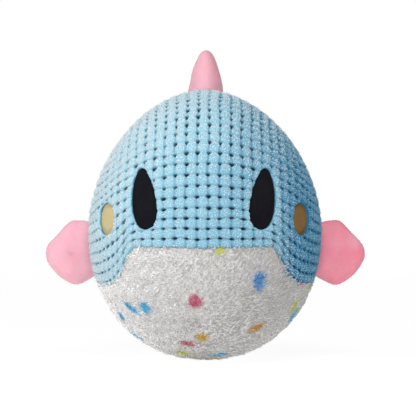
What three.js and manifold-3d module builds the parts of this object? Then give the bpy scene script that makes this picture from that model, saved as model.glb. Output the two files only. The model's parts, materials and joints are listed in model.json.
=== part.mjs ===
// A stuffed, ball-bodied whale for a dog to fetch and squeak. Millimetres, +Z up. It faces -Y, and
// left and right are as seen by someone who faces it, so +X is right. The origin is the middle of
// the flat that it rests on.
import * as THREE from "three";
import { mergeVertices } from "three/addons/utils/BufferGeometryUtils.js";
import Module from "manifold-3d";

const wasm = await Module();
wasm.setup();

// Body
const bodyWidth = 150;
const bodyDepth = 156;
const crownRise = 90.5; // from the widest ring up to the top
const bellyDrop = 83.4; // from the widest ring down to the bottom, before the flat is cut
const crownPower = 1.85;
const bellyPower = 2.15;
const flatCut = 0.5; // how far the toy settles on its seat
const coverSides = 32;
const coverRings = 16;
const fillingSides = coverSides / 2; // so that its corners lie under the cover's
const fillingRings = coverRings / 2;

// Cover
const coverThickness = 3;
const seamGap = 0.3; // between two pieces that touch
const crossSeam = 10; // the seam over the crown and down both sides, behind the widest line
const bibHeight = 74; // top of the white belly at the front
const flankHeight = 49.5; // top of the white belly at the sides
const seamPoints = 27; // from the middle of the face to the middle of the back
const dartWidth = 0.8;
const frontDartLength = 36;
const rearDartLength = 28;

// The seam round the belly, from the middle of the face to the middle of the back: the share of
// half a turn, and the share of the way from the flank's height up to the bib's
const bellySeamShares = [
  [0, 0.97], [0.06, 0.995], [0.12, 1], [0.17, 1], [0.19, 0.98], [0.205, 0.88], [0.222, 0.67],
  [0.239, 0.43], [0.256, 0.27], [0.278, 0.15], [0.306, 0.06], [0.344, 0.01], [0.4, 0],
  [0.5, 0], [0.6, -0.03], [0.75, -0.1], [0.9, -0.15], [1, -0.16],
];

// Eyes and cheeks: felt patches behind cut-outs in the face, each an oval that swells towards its foot
const eye = {
  width: 17.2, height: 39, centreHeight: 104, azimuth: 30.1, tilt: 16.5, swellShare: 0.27,
};
const cheek = {
  width: 17.2, height: 20.4, centreHeight: 91, azimuth: 53.4, tilt: 26, swellShare: 0.03,
};
const patchThickness = 1;
const patchRecess = 1.2; // how far the felt lies below the face
const patchBorder = 4; // what is sewn down behind the face, round each cut-out
const patchSides = 28;

// Fins and tail
const skinThickness = 1.5;
const sideFin = {
  reach: 28.5, span: 42.5, puff: 14, rootLength: 34, rootThickness: 8, standOff: 2, rootSides: 12,
};
const sideFinRootLow = 52.6;
const sideFinRootHigh = 87;
const tail = {
  reach: 38, span: 62, puff: 14, rootLength: 24, rootThickness: 9, standOff: 0.5, rootSides: 12,
};
const tailHeight = 86;
const dorsalFin = {
  height: 33, rootLength: 36, rootThickness: 22.5, standOff: 4, lean: 5.6, rootSides: 24,
};
const dorsalFinStart = 13;
const dorsalFinEnd = 43;
const dorsalWidthPower = 1.6;
const dorsalLengthPower = 1.3;
const outlineSides = 22;
const puffRings = 3;
const puffPower = 1.6;
const rootRings = 2;
const dorsalRings = 7;

// Outlines as shares of reach and span. x runs out from the root, and the second number along it.
const sideFinOutlineShares = [
  [0, -0.4], [0.15, -0.445], [0.35, -0.49], [0.48, -0.505], [0.6, -0.47], [0.75, -0.37],
  [0.86, -0.265], [0.95, -0.17], [0.995, -0.08], [1, 0], [0.97, 0.11], [0.91, 0.2],
  [0.81, 0.285], [0.67, 0.365], [0.5, 0.44], [0.26, 0.49], [0.12, 0.47], [0, 0.4],
];
const tailHalfOutlineShares = [
  [0, 0.19], [0.18, 0.18], [0.34, 0.22], [0.48, 0.34], [0.6, 0.46], [0.72, 0.5], [0.84, 0.47],
  [0.95, 0.38], [1, 0.25], [0.97, 0.12],
];
const tailNotchShares = [0.91, 0];
const sideFinCentreShares = [0.5, -0.01];
const tailCentreShares = [0.62, 0];

// Squeaker
const squeakerDiameter = 42;
const squeakerBaseHeight = 72; // of its underside
const squeakerPlateThickness = 3;
const squeakerCrownThickness = 2.5;
const squeakerRim = 1.6; // height of the plates' raised middles, which centre the bellows
const bellowsHeight = 22;
const bellowsFolds = 3;
const bellowsFoldDepth = 3.2;
const bellowsWall = 0.9;
const plugDiameter = 9.4;
const plugHeadDiameter = 13;
const plugHeadThickness = 1.6;
const plugLength = 9;
const reedWidth = 3.2;
const reedThickness = 0.5;
const reedLength = 11;
const pocketClearance = 0.4;
const squeakerSides = 16;

const overrun = 40; // how far a cutter passes what it cuts
const mergeDistance = 1e-4;
const widestHeight = bellyDrop - flatCut;
const degree = Math.PI / 180;

const material = (color, roughness) => new THREE.MeshStandardMaterial({ color, roughness, metalness: 0 });
const finishes = {
  waffle: material(0x93bcd6, 0.95),
  fleece: material(0xe6e3e1, 0.95),
  eyeFelt: material(0x17171c, 0.9),
  cheekFelt: material(0xc6a56b, 0.9),
  finPlush: material(0xf0a3b6, 0.9),
  fibre: material(0xf4f4f2, 1),
  plastic: material(0xdfe6e8, 0.5),
  reed: material(0xc9c2a6, 0.4),
};

// Solids for joining and cutting
function solidOf(geometry) {
  const plain = geometry.clone();
  plain.deleteAttribute("normal");
  plain.deleteAttribute("uv");
  const merged = mergeVertices(plain, mergeDistance);
  return new wasm.Manifold(
    new wasm.Mesh({
      numProp: 3,
      vertProperties: merged.attributes.position.array,
      triVerts: new Uint32Array(merged.index.array),
    }),
  );
}

function geometryOf(solid) {
  const data = solid.getMesh();
  const geometry = new THREE.BufferGeometry();
  geometry.setAttribute("position", new THREE.BufferAttribute(data.vertProperties, 3));
  geometry.setIndex(new THREE.BufferAttribute(data.triVerts, 1));
  const flat = geometry.toNonIndexed();
  flat.computeVertexNormals();
  return flat;
}

function meshOf(name, solid, finish) {
  const mesh = new THREE.Mesh(geometryOf(solid), finishes[finish]);
  mesh.name = name;
  return mesh;
}

// Closes a stack of rings, each with as many points, with a point below and a point above
function ringStack(bottom, rings, top) {
  const sides = rings[0].length;
  const points = [bottom, ...rings.flat(), top];
  const last = points.length - 1;
  const faces = [];
  for (let side = 0; side < sides; side += 1) {
    const next = (side + 1) % sides;
    faces.push(0, 1 + next, 1 + side);
    for (let ring = 0; ring < rings.length - 1; ring += 1) {
      const low = 1 + ring * sides;
      const high = low + sides;
      faces.push(low + side, low + next, high + next);
      faces.push(low + side, high + next, high + side);
    }
    faces.push(last - sides + side, last - sides + next, last);
  }
  const geometry = new THREE.BufferGeometry().setFromPoints(points);
  geometry.setIndex(faces);
  return geometry;
}

function block(low, high) {
  const size = high.clone().sub(low);
  const middle = low.clone().add(high).multiplyScalar(0.5);
  const geometry = new THREE.BoxGeometry(size.x, size.y, size.z);
  geometry.translate(middle.x, middle.y, middle.z);
  return solidOf(geometry);
}

// The body's egg, drawn in by a given thickness
function egg(inset, sides, ringCount) {
  const powerOf = (angle) => (angle > 0 ? crownPower : bellyPower);
  const heightOf = (angle) => (angle > 0 ? crownRise : bellyDrop) - inset;
  const flatEdge = -Math.asin((1 - flatCut / bellyDrop) ** (bellyPower / 2));
  const steps = Array.from({ length: ringCount }, (_, ring) => (ring + 1) / ringCount);
  const angles = [flatEdge, ...steps.map((step) => flatEdge + step * (Math.PI / 2 - flatEdge))];
  const profile = [new THREE.Vector2(0, -heightOf(-1))];
  for (const angle of angles) {
    const power = 2 / powerOf(angle);
    const radius = angle === angles.at(-1) ? 0 : Math.cos(angle) ** power;
    const height = Math.sign(angle) * Math.abs(Math.sin(angle)) ** power * heightOf(angle);
    profile.push(new THREE.Vector2(radius, height));
  }
  const geometry = new THREE.LatheGeometry(profile, sides);
  geometry.rotateX(Math.PI / 2);
  geometry.scale(bodyWidth / 2 - inset, bodyDepth / 2 - inset, 1);
  geometry.translate(0, 0, widestHeight);
  return solidOf(geometry);
}

// Radius share of the body at a height, 1 at the widest ring
function widthShare(height) {
  const rise = height - widestHeight;
  const power = rise > 0 ? crownPower : bellyPower;
  const full = rise > 0 ? crownRise : bellyDrop;
  return (1 - (Math.abs(rise) / full) ** power) ** (1 / power);
}

const sideOf = (depth, height) =>
  (bodyWidth / 2) * Math.sqrt(widthShare(height) ** 2 - (depth / (bodyDepth / 2)) ** 2);
const crownAt = (depth) =>
  widestHeight + crownRise * (1 - (depth / (bodyDepth / 2)) ** crownPower) ** (1 / crownPower);
const backAt = (height) => (bodyDepth / 2) * widthShare(height);

const coverShell = egg(0, coverSides, coverRings).subtract(egg(coverThickness, coverSides, coverRings));
const rightOf = (x) =>
  block(
    new THREE.Vector3(x, -bodyDepth, -overrun),
    new THREE.Vector3(bodyWidth, bodyDepth, widestHeight + crownRise + overrun),
  );
const leftOf = (x) =>
  block(
    new THREE.Vector3(-bodyWidth, -bodyDepth, -overrun),
    new THREE.Vector3(x, bodyDepth, widestHeight + crownRise + overrun),
  );
const behind = (y) =>
  block(
    new THREE.Vector3(-bodyWidth, y, -overrun),
    new THREE.Vector3(bodyWidth, bodyDepth, widestHeight + crownRise + overrun),
  );
const aheadOf = (y) =>
  block(
    new THREE.Vector3(-bodyWidth, -bodyDepth, -overrun),
    new THREE.Vector3(bodyWidth, y, widestHeight + crownRise + overrun),
  );
const underfoot = block(
  new THREE.Vector3(-bodyWidth, -bodyDepth, -overrun),
  new THREE.Vector3(bodyWidth, bodyDepth, 0),
);

// All that lies under the belly seam, moved up by a given distance square to the seam
function underSeam(shift) {
  const bibRise = bibHeight - flankHeight;
  const curve = new THREE.CatmullRomCurve3(
    bellySeamShares.map(
      ([turn, rise]) => new THREE.Vector3((turn * Math.PI * bodyWidth) / 2, flankHeight + rise * bibRise, 0),
    ),
  );
  const half = curve.getPoints(seamPoints).map((point, index, all) => {
    const before = all[Math.max(index - 1, 0)];
    const after = all[Math.min(index + 1, all.length - 1)];
    const along = after.clone().sub(before).normalize();
    const ends = index === 0 || index === all.length - 1;
    const sideways = ends ? 0 : -along.y * shift;
    return new THREE.Vector2((2 * (point.x + sideways)) / bodyWidth, point.y + along.x * shift);
  });
  const other = half.slice(1, -1).reverse().map((point) => new THREE.Vector2(-point.x, point.y));
  const seam = [...half, ...other].reverse();
  const ring = (share, heightOf) =>
    seam.map(({ x: turn, y: height }) =>
      new THREE.Vector3(
        (-Math.sin(turn) * share * bodyWidth) / 2,
        (-Math.cos(turn) * share * bodyDepth) / 2,
        heightOf(height),
      ));
  const outsideShare = 1.3;
  const insideShare = 0.7;
  const flatBottom = () => -overrun;
  const asDrawn = (height) => height;
  return solidOf(
    ringStack(
      new THREE.Vector3(0, 0, -overrun),
      [
        ring(insideShare, flatBottom),
        ring(outsideShare, flatBottom),
        ring(outsideShare, asDrawn),
        ring(insideShare, asDrawn),
      ],
      new THREE.Vector3(0, 0, flankHeight),
    ),
  );
}

// An upright oval column that points out of the face at the patch's place
function ovalColumn(patch, side, grow) {
  const outline = Array.from({ length: patchSides }, (_, index) => {
    const angle = (2 * Math.PI * index) / patchSides;
    const halfWidth = (patch.width / 2) * (1 - patch.swellShare * Math.sin(angle)) + grow;
    return new THREE.Vector2(halfWidth * Math.cos(angle), (patch.height / 2 + grow) * Math.sin(angle));
  });
  const geometry = new THREE.ExtrudeGeometry(new THREE.Shape(outline), {
    depth: bodyDepth,
    bevelEnabled: false,
  });
  geometry.rotateZ(-side * patch.tilt * degree);
  geometry.rotateX(Math.PI / 2);
  geometry.rotateZ(side * patch.azimuth * degree);
  geometry.translate(0, 0, patch.centreHeight);
  return solidOf(geometry);
}

function patchSolid(patch, side) {
  const back = coverThickness + seamGap + patchThickness;
  const wide = ovalColumn(patch, side, patchBorder);
  const narrow = ovalColumn(patch, side, -seamGap);
  const behindFace = egg(coverThickness + seamGap, coverSides, coverRings);
  const bottom = egg(back, coverSides, coverRings);
  const front = egg(patchRecess, coverSides, coverRings);
  return wide.intersect(behindFace).add(narrow.intersect(front)).subtract(bottom);
}

// A closed outline through shares of reach and span, drawn in by a given thickness
function outlineOf(shares, size, inset) {
  const curve = new THREE.CatmullRomCurve3(
    shares.map(([out, along]) => new THREE.Vector3(out * size.reach, along * size.span, 0)),
    true,
  );
  const points = curve.getPoints(outlineSides).slice(0, -1);
  return points.map((point, index) => {
    const before = points.at(index - 1);
    const after = points[(index + 1) % points.length];
    const along = after.clone().sub(before).normalize();
    return new THREE.Vector2(point.x - along.y * inset, point.y + along.x * inset);
  });
}

// A stuffed flat form that stands in XZ and swells both ways along Y
function puffed(shares, centreShares, size, inset) {
  const outline = outlineOf(shares, size, inset);
  const centre = new THREE.Vector2(centreShares[0] * size.reach, centreShares[1] * size.span);
  const halfPuff = size.puff / 2 - inset;
  const ringAt = (angle) => {
    const spread = Math.cos(angle);
    const lift = Math.sign(angle) * halfPuff * (1 - spread ** 2) ** (1 / puffPower);
    return outline.map((point) => {
      const x = centre.x + (point.x - centre.x) * spread;
      const z = centre.y + (point.y - centre.y) * spread;
      return new THREE.Vector3(x, lift, z);
    });
  };
  const rings = [];
  for (let ring = 1 - puffRings; ring < puffRings; ring += 1) {
    rings.push(ringAt((Math.PI / 2) * (ring / puffRings)));
  }
  const front = new THREE.Vector3(centre.x, -halfPuff, centre.y);
  const back = new THREE.Vector3(centre.x, halfPuff, centre.y);
  return solidOf(ringStack(front, rings.map((ring) => ring.toReversed()), back));
}

// The rolled root of a fin, round its hinge line, which is Z
function rootRoll(size, grow) {
  const radius = size.rootThickness / 2 + grow;
  const geometry = new THREE.CapsuleGeometry(
    radius,
    size.rootLength - size.rootThickness,
    rootRings,
    size.rootSides,
  );
  geometry.rotateX(Math.PI / 2);
  return solidOf(geometry);
}

const sideFinForm = (inset) =>
  rootRoll(sideFin, -inset).add(puffed(sideFinOutlineShares, sideFinCentreShares, sideFin, inset));

const tailOutlineShares = [
  ...tailHalfOutlineShares.map(([out, along]) => [out, -along]),
  tailNotchShares,
  ...tailHalfOutlineShares.toReversed(),
];
const tailForm = (inset) =>
  rootRoll(tail, -inset).add(puffed(tailOutlineShares, tailCentreShares, tail, inset));

// The dorsal fin: ovals that grow smaller and move along as they rise. X is out from its hinge line,
// Y is across it and Z along it, towards the face.
function dorsalForm(inset) {
  const height = dorsalFin.height - inset;
  const rings = [];
  for (let ring = 0; ring < dorsalRings; ring += 1) {
    const share = 1 - (1 - ring / dorsalRings) ** 2;
    const halfWidth = (dorsalFin.rootThickness / 2 - inset) * Math.sqrt(1 - share ** dorsalWidthPower);
    const halfLength = (dorsalFin.rootLength / 2 - inset) * Math.sqrt(1 - share ** dorsalLengthPower);
    const points = [];
    for (let side = 0; side < outlineSides; side += 1) {
      const angle = (2 * Math.PI * side) / outlineSides;
      points.push(
        new THREE.Vector3(
          share * height,
          halfWidth * Math.cos(angle),
          halfLength * Math.sin(angle) + dorsalFin.lean * share,
        ),
      );
    }
    rings.push(points);
  }
  const foot = new THREE.Vector3(0, 0, 0);
  const tip = new THREE.Vector3(height, 0, dorsalFin.lean);
  return rootRoll(dorsalFin, -inset).add(solidOf(ringStack(foot, rings, tip)));
}

// Where each fin is sewn to the body, as a group whose Z is the hinge line and X points outwards
function finGroup(place, outward, along) {
  const across = new THREE.Vector3().crossVectors(along, outward);
  const group = new THREE.Group();
  group.quaternion.setFromRotationMatrix(new THREE.Matrix4().makeBasis(outward, across, along));
  group.position.copy(place);
  group.updateMatrixWorld(true);
  return group;
}

function sideFinGroup(side) {
  const low = new THREE.Vector3(side * sideOf(crossSeam, sideFinRootLow), crossSeam, sideFinRootLow);
  const high = new THREE.Vector3(side * sideOf(crossSeam, sideFinRootHigh), crossSeam, sideFinRootHigh);
  const along = high.clone().sub(low).normalize();
  const back = new THREE.Vector3(0, 1, 0);
  const outward = new THREE.Vector3().crossVectors(back, along).multiplyScalar(side).normalize();
  const place = low.add(high).multiplyScalar(0.5).addScaledVector(outward, sideFin.standOff);
  return finGroup(place, outward, along);
}

function dorsalFinGroup() {
  const front = new THREE.Vector3(0, dorsalFinStart, crownAt(dorsalFinStart));
  const rear = new THREE.Vector3(0, dorsalFinEnd, crownAt(dorsalFinEnd));
  const along = front.clone().sub(rear).normalize();
  const outward = new THREE.Vector3().crossVectors(along, new THREE.Vector3(1, 0, 0));
  const place = front.add(rear).multiplyScalar(0.5).addScaledVector(outward, dorsalFin.standOff);
  return finGroup(place, outward, along);
}

function tailGroup() {
  const place = new THREE.Vector3(0, backAt(tailHeight) + tail.standOff, tailHeight);
  return finGroup(place, new THREE.Vector3(0, 1, 0), new THREE.Vector3(1, 0, 0));
}

function inPlace(solid, group) {
  return solidOf(geometryOf(solid).applyMatrix4(group.matrixWorld));
}

const leftFin = sideFinGroup(-1);
const rightFin = sideFinGroup(1);
const dorsal = dorsalFinGroup();
const tailRoot = tailGroup();
const troughs = [
  inPlace(rootRoll(sideFin, seamGap), leftFin),
  inPlace(rootRoll(sideFin, seamGap), rightFin),
  inPlace(rootRoll(dorsalFin, seamGap), dorsal),
  inPlace(rootRoll(tail, seamGap), tailRoot),
];
const withoutTroughs = (solid) => troughs.reduce((rest, trough) => rest.subtract(trough), solid);

const group = new THREE.Group();

// Cover
const belowSeam = underSeam(-seamGap / 2);
const upToSeam = underSeam(seamGap / 2);
const blueShell = coverShell.subtract(upToSeam);
let face = blueShell.subtract(behind(crossSeam - seamGap / 2));
for (const side of [-1, 1]) {
  face = face.subtract(ovalColumn(eye, side, 0)).subtract(ovalColumn(cheek, side, 0));
}
group.add(meshOf("face_panel", withoutTroughs(face), "waffle"));

const blueBack = withoutTroughs(blueShell.subtract(aheadOf(crossSeam + seamGap / 2)));
group.add(meshOf("back_panel_left", blueBack.subtract(rightOf(-seamGap / 2)), "waffle"));
group.add(meshOf("back_panel_right", blueBack.subtract(leftOf(seamGap / 2)), "waffle"));

function dart(length, direction) {
  const shape = new THREE.Shape([
    new THREE.Vector2(0, bibHeight - length),
    new THREE.Vector2(dartWidth / 2, bibHeight + overrun),
    new THREE.Vector2(-dartWidth / 2, bibHeight + overrun),
  ]);
  const geometry = new THREE.ExtrudeGeometry(shape, { depth: bodyDepth, bevelEnabled: false });
  geometry.rotateX(Math.PI / 2);
  geometry.rotateZ(direction > 0 ? Math.PI : 0);
  return solidOf(geometry);
}
const rearDartDepth = rearDartLength + bibHeight - flankHeight;
const belly = withoutTroughs(coverShell.intersect(belowSeam))
  .subtract(underfoot)
  .subtract(dart(frontDartLength, -1))
  .subtract(dart(rearDartDepth, 1));
group.add(meshOf("belly_panel", belly, "fleece"));

// Patches
const sideNames = [["left", -1], ["right", 1]];
for (const [name, side] of sideNames) {
  group.add(meshOf(`eye_${name}`, patchSolid(eye, side), "eyeFelt"));
  group.add(meshOf(`cheek_${name}`, patchSolid(cheek, side), "cheekFelt"));
}

// Fins: each is two skins, sewn along the edge, and a filling
function dressFin(finPlace, form, names) {
  const skins = form(0).subtract(form(skinThickness));
  const size = new THREE.Vector3(bodyWidth, bodyWidth, bodyWidth);
  const nearHalf = block(size.clone().negate(), new THREE.Vector3(size.x, seamGap / 2, size.z));
  const farHalf = block(new THREE.Vector3(-size.x, -seamGap / 2, -size.z), size);
  finPlace.add(meshOf(names[0], skins.subtract(farHalf), "finPlush"));
  finPlace.add(meshOf(names[1], skins.subtract(nearHalf), "finPlush"));
  finPlace.add(meshOf(names[2], form(skinThickness + seamGap), "fibre"));
  group.add(finPlace);
}
dressFin(leftFin, sideFinForm, ["left_fin_rear_skin", "left_fin_front_skin", "left_fin_filling"]);
dressFin(rightFin, sideFinForm, ["right_fin_front_skin", "right_fin_rear_skin", "right_fin_filling"]);
dressFin(dorsal, dorsalForm, ["dorsal_fin_right_skin", "dorsal_fin_left_skin", "dorsal_fin_filling"]);
dressFin(tailRoot, tailForm, ["tail_lower_skin", "tail_upper_skin", "tail_filling"]);

// Squeaker
const squeaker = new THREE.Group();
squeaker.position.set(0, 0, squeakerBaseHeight);
const squeakerRadius = squeakerDiameter / 2;
const foldRadius = squeakerRadius - bellowsFoldDepth - bellowsWall - seamGap;
const turned = (outline) =>
  solidOf(
    new THREE.LatheGeometry(
      outline.map(([radius, height]) => new THREE.Vector2(radius, height)),
      squeakerSides,
    ).rotateX(Math.PI / 2),
  );
const plate = (thickness) =>
  turned([
    [0, 0],
    [squeakerRadius, 0],
    [squeakerRadius, thickness],
    [foldRadius, thickness],
    [foldRadius, thickness + squeakerRim],
    [0, thickness + squeakerRim],
  ]);
const plugHole = turned([
  [0, -overrun],
  [plugDiameter / 2 + seamGap, -overrun],
  [plugDiameter / 2 + seamGap, overrun],
  [0, overrun],
]);
squeaker.add(meshOf("squeaker_base", plate(squeakerPlateThickness).subtract(plugHole), "plastic"));

const bellowsOutline = [];
const foldHeight = bellowsHeight / bellowsFolds;
for (let fold = 0; fold < bellowsFolds; fold += 1) {
  bellowsOutline.push([squeakerRadius - bellowsFoldDepth, fold * foldHeight]);
  bellowsOutline.push([squeakerRadius, (fold + 0.5) * foldHeight]);
}
bellowsOutline.push([squeakerRadius - bellowsFoldDepth, bellowsHeight]);
const bellowsInside = bellowsOutline.toReversed().map(([radius, height]) => [radius - bellowsWall, height]);
const bellowsGeometry = new THREE.LatheGeometry(
  [...bellowsOutline, ...bellowsInside, bellowsOutline[0]].map(([r, z]) => new THREE.Vector2(r, z)),
  squeakerSides,
);
bellowsGeometry.rotateX(Math.PI / 2);
const bellows = meshOf("squeaker_bellows", solidOf(bellowsGeometry), "plastic");
bellows.position.z = squeakerPlateThickness + seamGap;
squeaker.add(bellows);

const crownPlate = meshOf("squeaker_crown", plate(squeakerCrownThickness), "plastic");
crownPlate.rotation.x = Math.PI;
crownPlate.position.z = squeakerPlateThickness + bellowsHeight + squeakerCrownThickness + 2 * seamGap;
squeaker.add(crownPlate);

const reedSlot = block(
  new THREE.Vector3(-reedWidth / 2 - seamGap, -reedThickness / 2 - seamGap, -overrun),
  new THREE.Vector3(reedWidth / 2 + seamGap, reedThickness / 2 + seamGap, overrun),
);
const plug = turned([
  [0, -plugHeadThickness],
  [plugHeadDiameter / 2, -plugHeadThickness],
  [plugHeadDiameter / 2, 0],
  [plugDiameter / 2, 0],
  [plugDiameter / 2, plugLength],
  [0, plugLength],
]).subtract(reedSlot);
const plugMesh = meshOf("squeaker_plug", plug, "plastic");
plugMesh.position.z = -seamGap;
squeaker.add(plugMesh);

const reed = new THREE.Mesh(new THREE.BoxGeometry(reedWidth, reedThickness, reedLength), finishes.reed);
reed.name = "squeaker_reed";
reed.position.z = reedLength / 2 - plugHeadThickness;
squeaker.add(reed);
group.add(squeaker);

// Filling, in two wads with a pocket for the squeaker and hollows for the patches
const filled = coverThickness + seamGap;
const patchHollow = egg(filled + patchThickness + seamGap, coverSides, coverRings);
const pocketLow = squeakerBaseHeight - plugHeadThickness - seamGap - pocketClearance;
const squeakerHeight = squeakerPlateThickness + bellowsHeight + squeakerCrownThickness + 2 * seamGap;
const pocketHigh = squeakerBaseHeight + squeakerHeight + pocketClearance;
const pocketRadius = squeakerRadius + pocketClearance;
const pocket = turned([
  [0, pocketLow],
  [plugHeadDiameter / 2 + pocketClearance, pocketLow],
  [plugHeadDiameter / 2 + pocketClearance, squeakerBaseHeight - seamGap],
  [pocketRadius, squeakerBaseHeight - seamGap],
  [pocketRadius, pocketHigh],
  [0, pocketHigh],
]);
const underWads = block(
  new THREE.Vector3(-bodyWidth, -bodyDepth, -overrun),
  new THREE.Vector3(bodyWidth, bodyDepth, coverThickness + seamGap - flatCut),
);
let filling = withoutTroughs(egg(filled, fillingSides, fillingRings)).subtract(pocket).subtract(underWads);
for (const side of [-1, 1]) {
  for (const patch of [eye, cheek]) {
    filling = filling.subtract(ovalColumn(patch, side, patchBorder + seamGap).subtract(patchHollow));
  }
}
group.add(meshOf("body_filling_front", filling.subtract(behind(-seamGap / 2)), "fibre"));
group.add(meshOf("body_filling_rear", filling.subtract(aheadOf(seamGap / 2)), "fibre"));

export default group;
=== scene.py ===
import json
import math

import bpy
import numpy as np
from mathutils import Matrix

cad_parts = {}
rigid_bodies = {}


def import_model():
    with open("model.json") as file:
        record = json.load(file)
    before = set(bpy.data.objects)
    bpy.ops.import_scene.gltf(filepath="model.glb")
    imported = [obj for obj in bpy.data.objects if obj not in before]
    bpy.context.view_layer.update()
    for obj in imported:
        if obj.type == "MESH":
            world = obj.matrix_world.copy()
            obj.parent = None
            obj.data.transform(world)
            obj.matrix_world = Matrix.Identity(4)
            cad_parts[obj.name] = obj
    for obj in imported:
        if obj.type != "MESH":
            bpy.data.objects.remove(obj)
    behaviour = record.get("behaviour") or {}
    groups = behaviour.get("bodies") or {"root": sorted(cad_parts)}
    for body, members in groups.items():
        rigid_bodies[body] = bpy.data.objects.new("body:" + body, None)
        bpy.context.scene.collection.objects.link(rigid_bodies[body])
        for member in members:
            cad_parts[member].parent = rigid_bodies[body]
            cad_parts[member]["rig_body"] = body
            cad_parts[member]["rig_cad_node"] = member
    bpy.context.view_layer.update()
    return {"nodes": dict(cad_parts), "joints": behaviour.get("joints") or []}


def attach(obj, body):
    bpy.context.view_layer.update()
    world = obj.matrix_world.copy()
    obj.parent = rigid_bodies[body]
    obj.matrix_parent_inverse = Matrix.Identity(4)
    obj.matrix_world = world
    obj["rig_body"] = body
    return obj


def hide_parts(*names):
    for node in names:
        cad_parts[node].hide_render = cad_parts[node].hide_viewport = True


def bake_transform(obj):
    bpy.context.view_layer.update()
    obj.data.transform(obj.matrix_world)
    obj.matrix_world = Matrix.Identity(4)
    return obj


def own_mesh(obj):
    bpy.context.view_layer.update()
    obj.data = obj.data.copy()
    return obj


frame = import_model()
print("frame loaded:", len(frame["nodes"]), "nodes")

# Small helpers for the modelling below


def deselectAll():
    bpy.ops.object.select_all(action="DESELECT")


def makeActive(obj):
    deselectAll()
    obj.select_set(True)
    bpy.context.view_layer.objects.active = obj


def newPiece(name):
    obj = bpy.context.object
    obj.name = name
    obj.data.name = name
    return obj


def pointsOf(obj):
    points = np.empty(len(obj.data.vertices) * 3)
    obj.data.vertices.foreach_get("co", points)
    return points.reshape(-1, 3)


def movePoints(obj, points):
    obj.data.vertices.foreach_set("co", np.ascontiguousarray(points).ravel())
    obj.data.update()


def normalsOf(obj):
    normals = np.empty(len(obj.data.vertices) * 3)
    obj.data.vertices.foreach_get("normal", normals)
    return normals.reshape(-1, 3)


def copyPiece(source, name):
    obj = source.copy()
    obj.data = source.data.copy()
    obj.name = name
    obj.data.name = name
    bpy.context.collection.objects.link(obj)
    return obj


def unit(vectors):
    return vectors / np.linalg.norm(vectors, axis=-1, keepdims=True)


def smoothStep(low, high, value):
    share = np.clip((value - low) / (high - low), 0, 1)
    return share * share * (3 - 2 * share)


def throughPoints(pairs, at):
    # a smooth line through listed points
    xs, ys = np.array(pairs, float).T
    slopes = np.gradient(ys, xs)
    i = np.clip(np.searchsorted(xs, at) - 1, 0, len(xs) - 2)
    gap = xs[i + 1] - xs[i]
    t = np.clip((at - xs[i]) / gap, 0, 1)
    return (
        (2 * t**3 - 3 * t**2 + 1) * ys[i]
        + (t**3 - 2 * t**2 + t) * gap * slopes[i]
        + (3 * t**2 - 2 * t**3) * ys[i + 1]
        + (t**3 - t**2) * gap * slopes[i + 1]
    )


def wander(points, wavelength, seed):
    # a smooth random field, about -1 to 1
    rng = np.random.default_rng(seed)
    total = np.zeros(len(points))
    for _ in range(7):
        way = unit(rng.normal(size=3)) * 2 * math.pi / (wavelength * rng.uniform(0.7, 1.5))
        total += np.sin(points @ way + rng.uniform(0, 2 * math.pi))
    return total / 3


def setNumbers(obj, name, values):
    layer = obj.data.attributes.get(name) or obj.data.attributes.new(name, "FLOAT", "POINT")
    layer.data.foreach_set("value", np.broadcast_to(values, len(obj.data.vertices)).astype(np.float32))


def setColours(obj, name, colours):
    layer = obj.data.attributes.get(name) or obj.data.attributes.new(name, "FLOAT_COLOR", "POINT")
    layer.data.foreach_set("color", colours.astype(np.float32).ravel())


def joinInto(obj, other):
    makeActive(obj)
    other.select_set(True)
    bpy.ops.object.join()


# Materials

finish = {
    # the blue pile's ramp: its root colour is painted shade deep in the pile and on the shaded right, and
    # its pale colours carry painted light on the lit left
    "waffleRootShade": (0.015, 0.15, 0.29),
    "waffleMiddle": (0.225, 0.455, 0.565),
    "wafflePale": (0.475, 0.62, 0.675),
    "waffleTipLight": (0.68, 0.74, 0.76),
    # painted shade in the holes and on the turned-in hem
    "holeShade": (0.006, 0.03, 0.06),
    # the fleece's grey root colour is painted shade between the locks
    "fleeceRootShade": (0.40, 0.39, 0.38),
    "fleeceTip": (0.97, 0.96, 0.95),
    # the pink's deep colour and pale nap colour carry painted shade and painted light, as well as the nap's
    # grain
    "pink": (0.71, 0.21, 0.275),
    "pinkNapAndLight": (0.70, 0.375, 0.44),
    "black": (0.004, 0.004, 0.006),
    "blackNap": (0.011, 0.011, 0.014),
    # the tan felt's deep colour and pale nap colour carry painted shade and painted light, as well as the
    # nap's grain
    "tan": (0.155, 0.085, 0.026),
    "tanNapAndLight": (0.47, 0.39, 0.205),
    "fibre": (0.86, 0.86, 0.84),
    "fibreTips": (0.95, 0.95, 0.94),
    "plastic": (0.70, 0.77, 0.80),
    "film": (0.58, 0.52, 0.36),
}


def newMaterial(name, roughness, sheen, sheenTint, shine):
    mat = bpy.data.materials.new(name)
    mat.use_nodes = True
    shader = mat.node_tree.nodes["Principled BSDF"]
    shader.inputs["Roughness"].default_value = roughness
    shader.inputs["Specular IOR Level"].default_value = shine
    shader.inputs["Sheen Weight"].default_value = sheen
    shader.inputs["Sheen Roughness"].default_value = 0.5
    shader.inputs["Sheen Tint"].default_value = (*sheenTint, 1)
    return mat, mat.node_tree.nodes, mat.node_tree.links, shader


def rampOf(nodes, stops):
    ramp = nodes.new("ShaderNodeValToRGB")
    ramp.color_ramp.elements[0].position = stops[0][0]
    ramp.color_ramp.elements[0].color = (*stops[0][1], 1)
    ramp.color_ramp.elements[1].position = stops[-1][0]
    ramp.color_ramp.elements[1].color = (*stops[-1][1], 1)
    for place, colour in stops[1:-1]:
        ramp.color_ramp.elements.new(place).color = (*colour, 1)
    return ramp


def attributeOf(nodes, name):
    attribute = nodes.new("ShaderNodeAttribute")
    attribute.attribute_name = name
    return attribute


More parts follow.
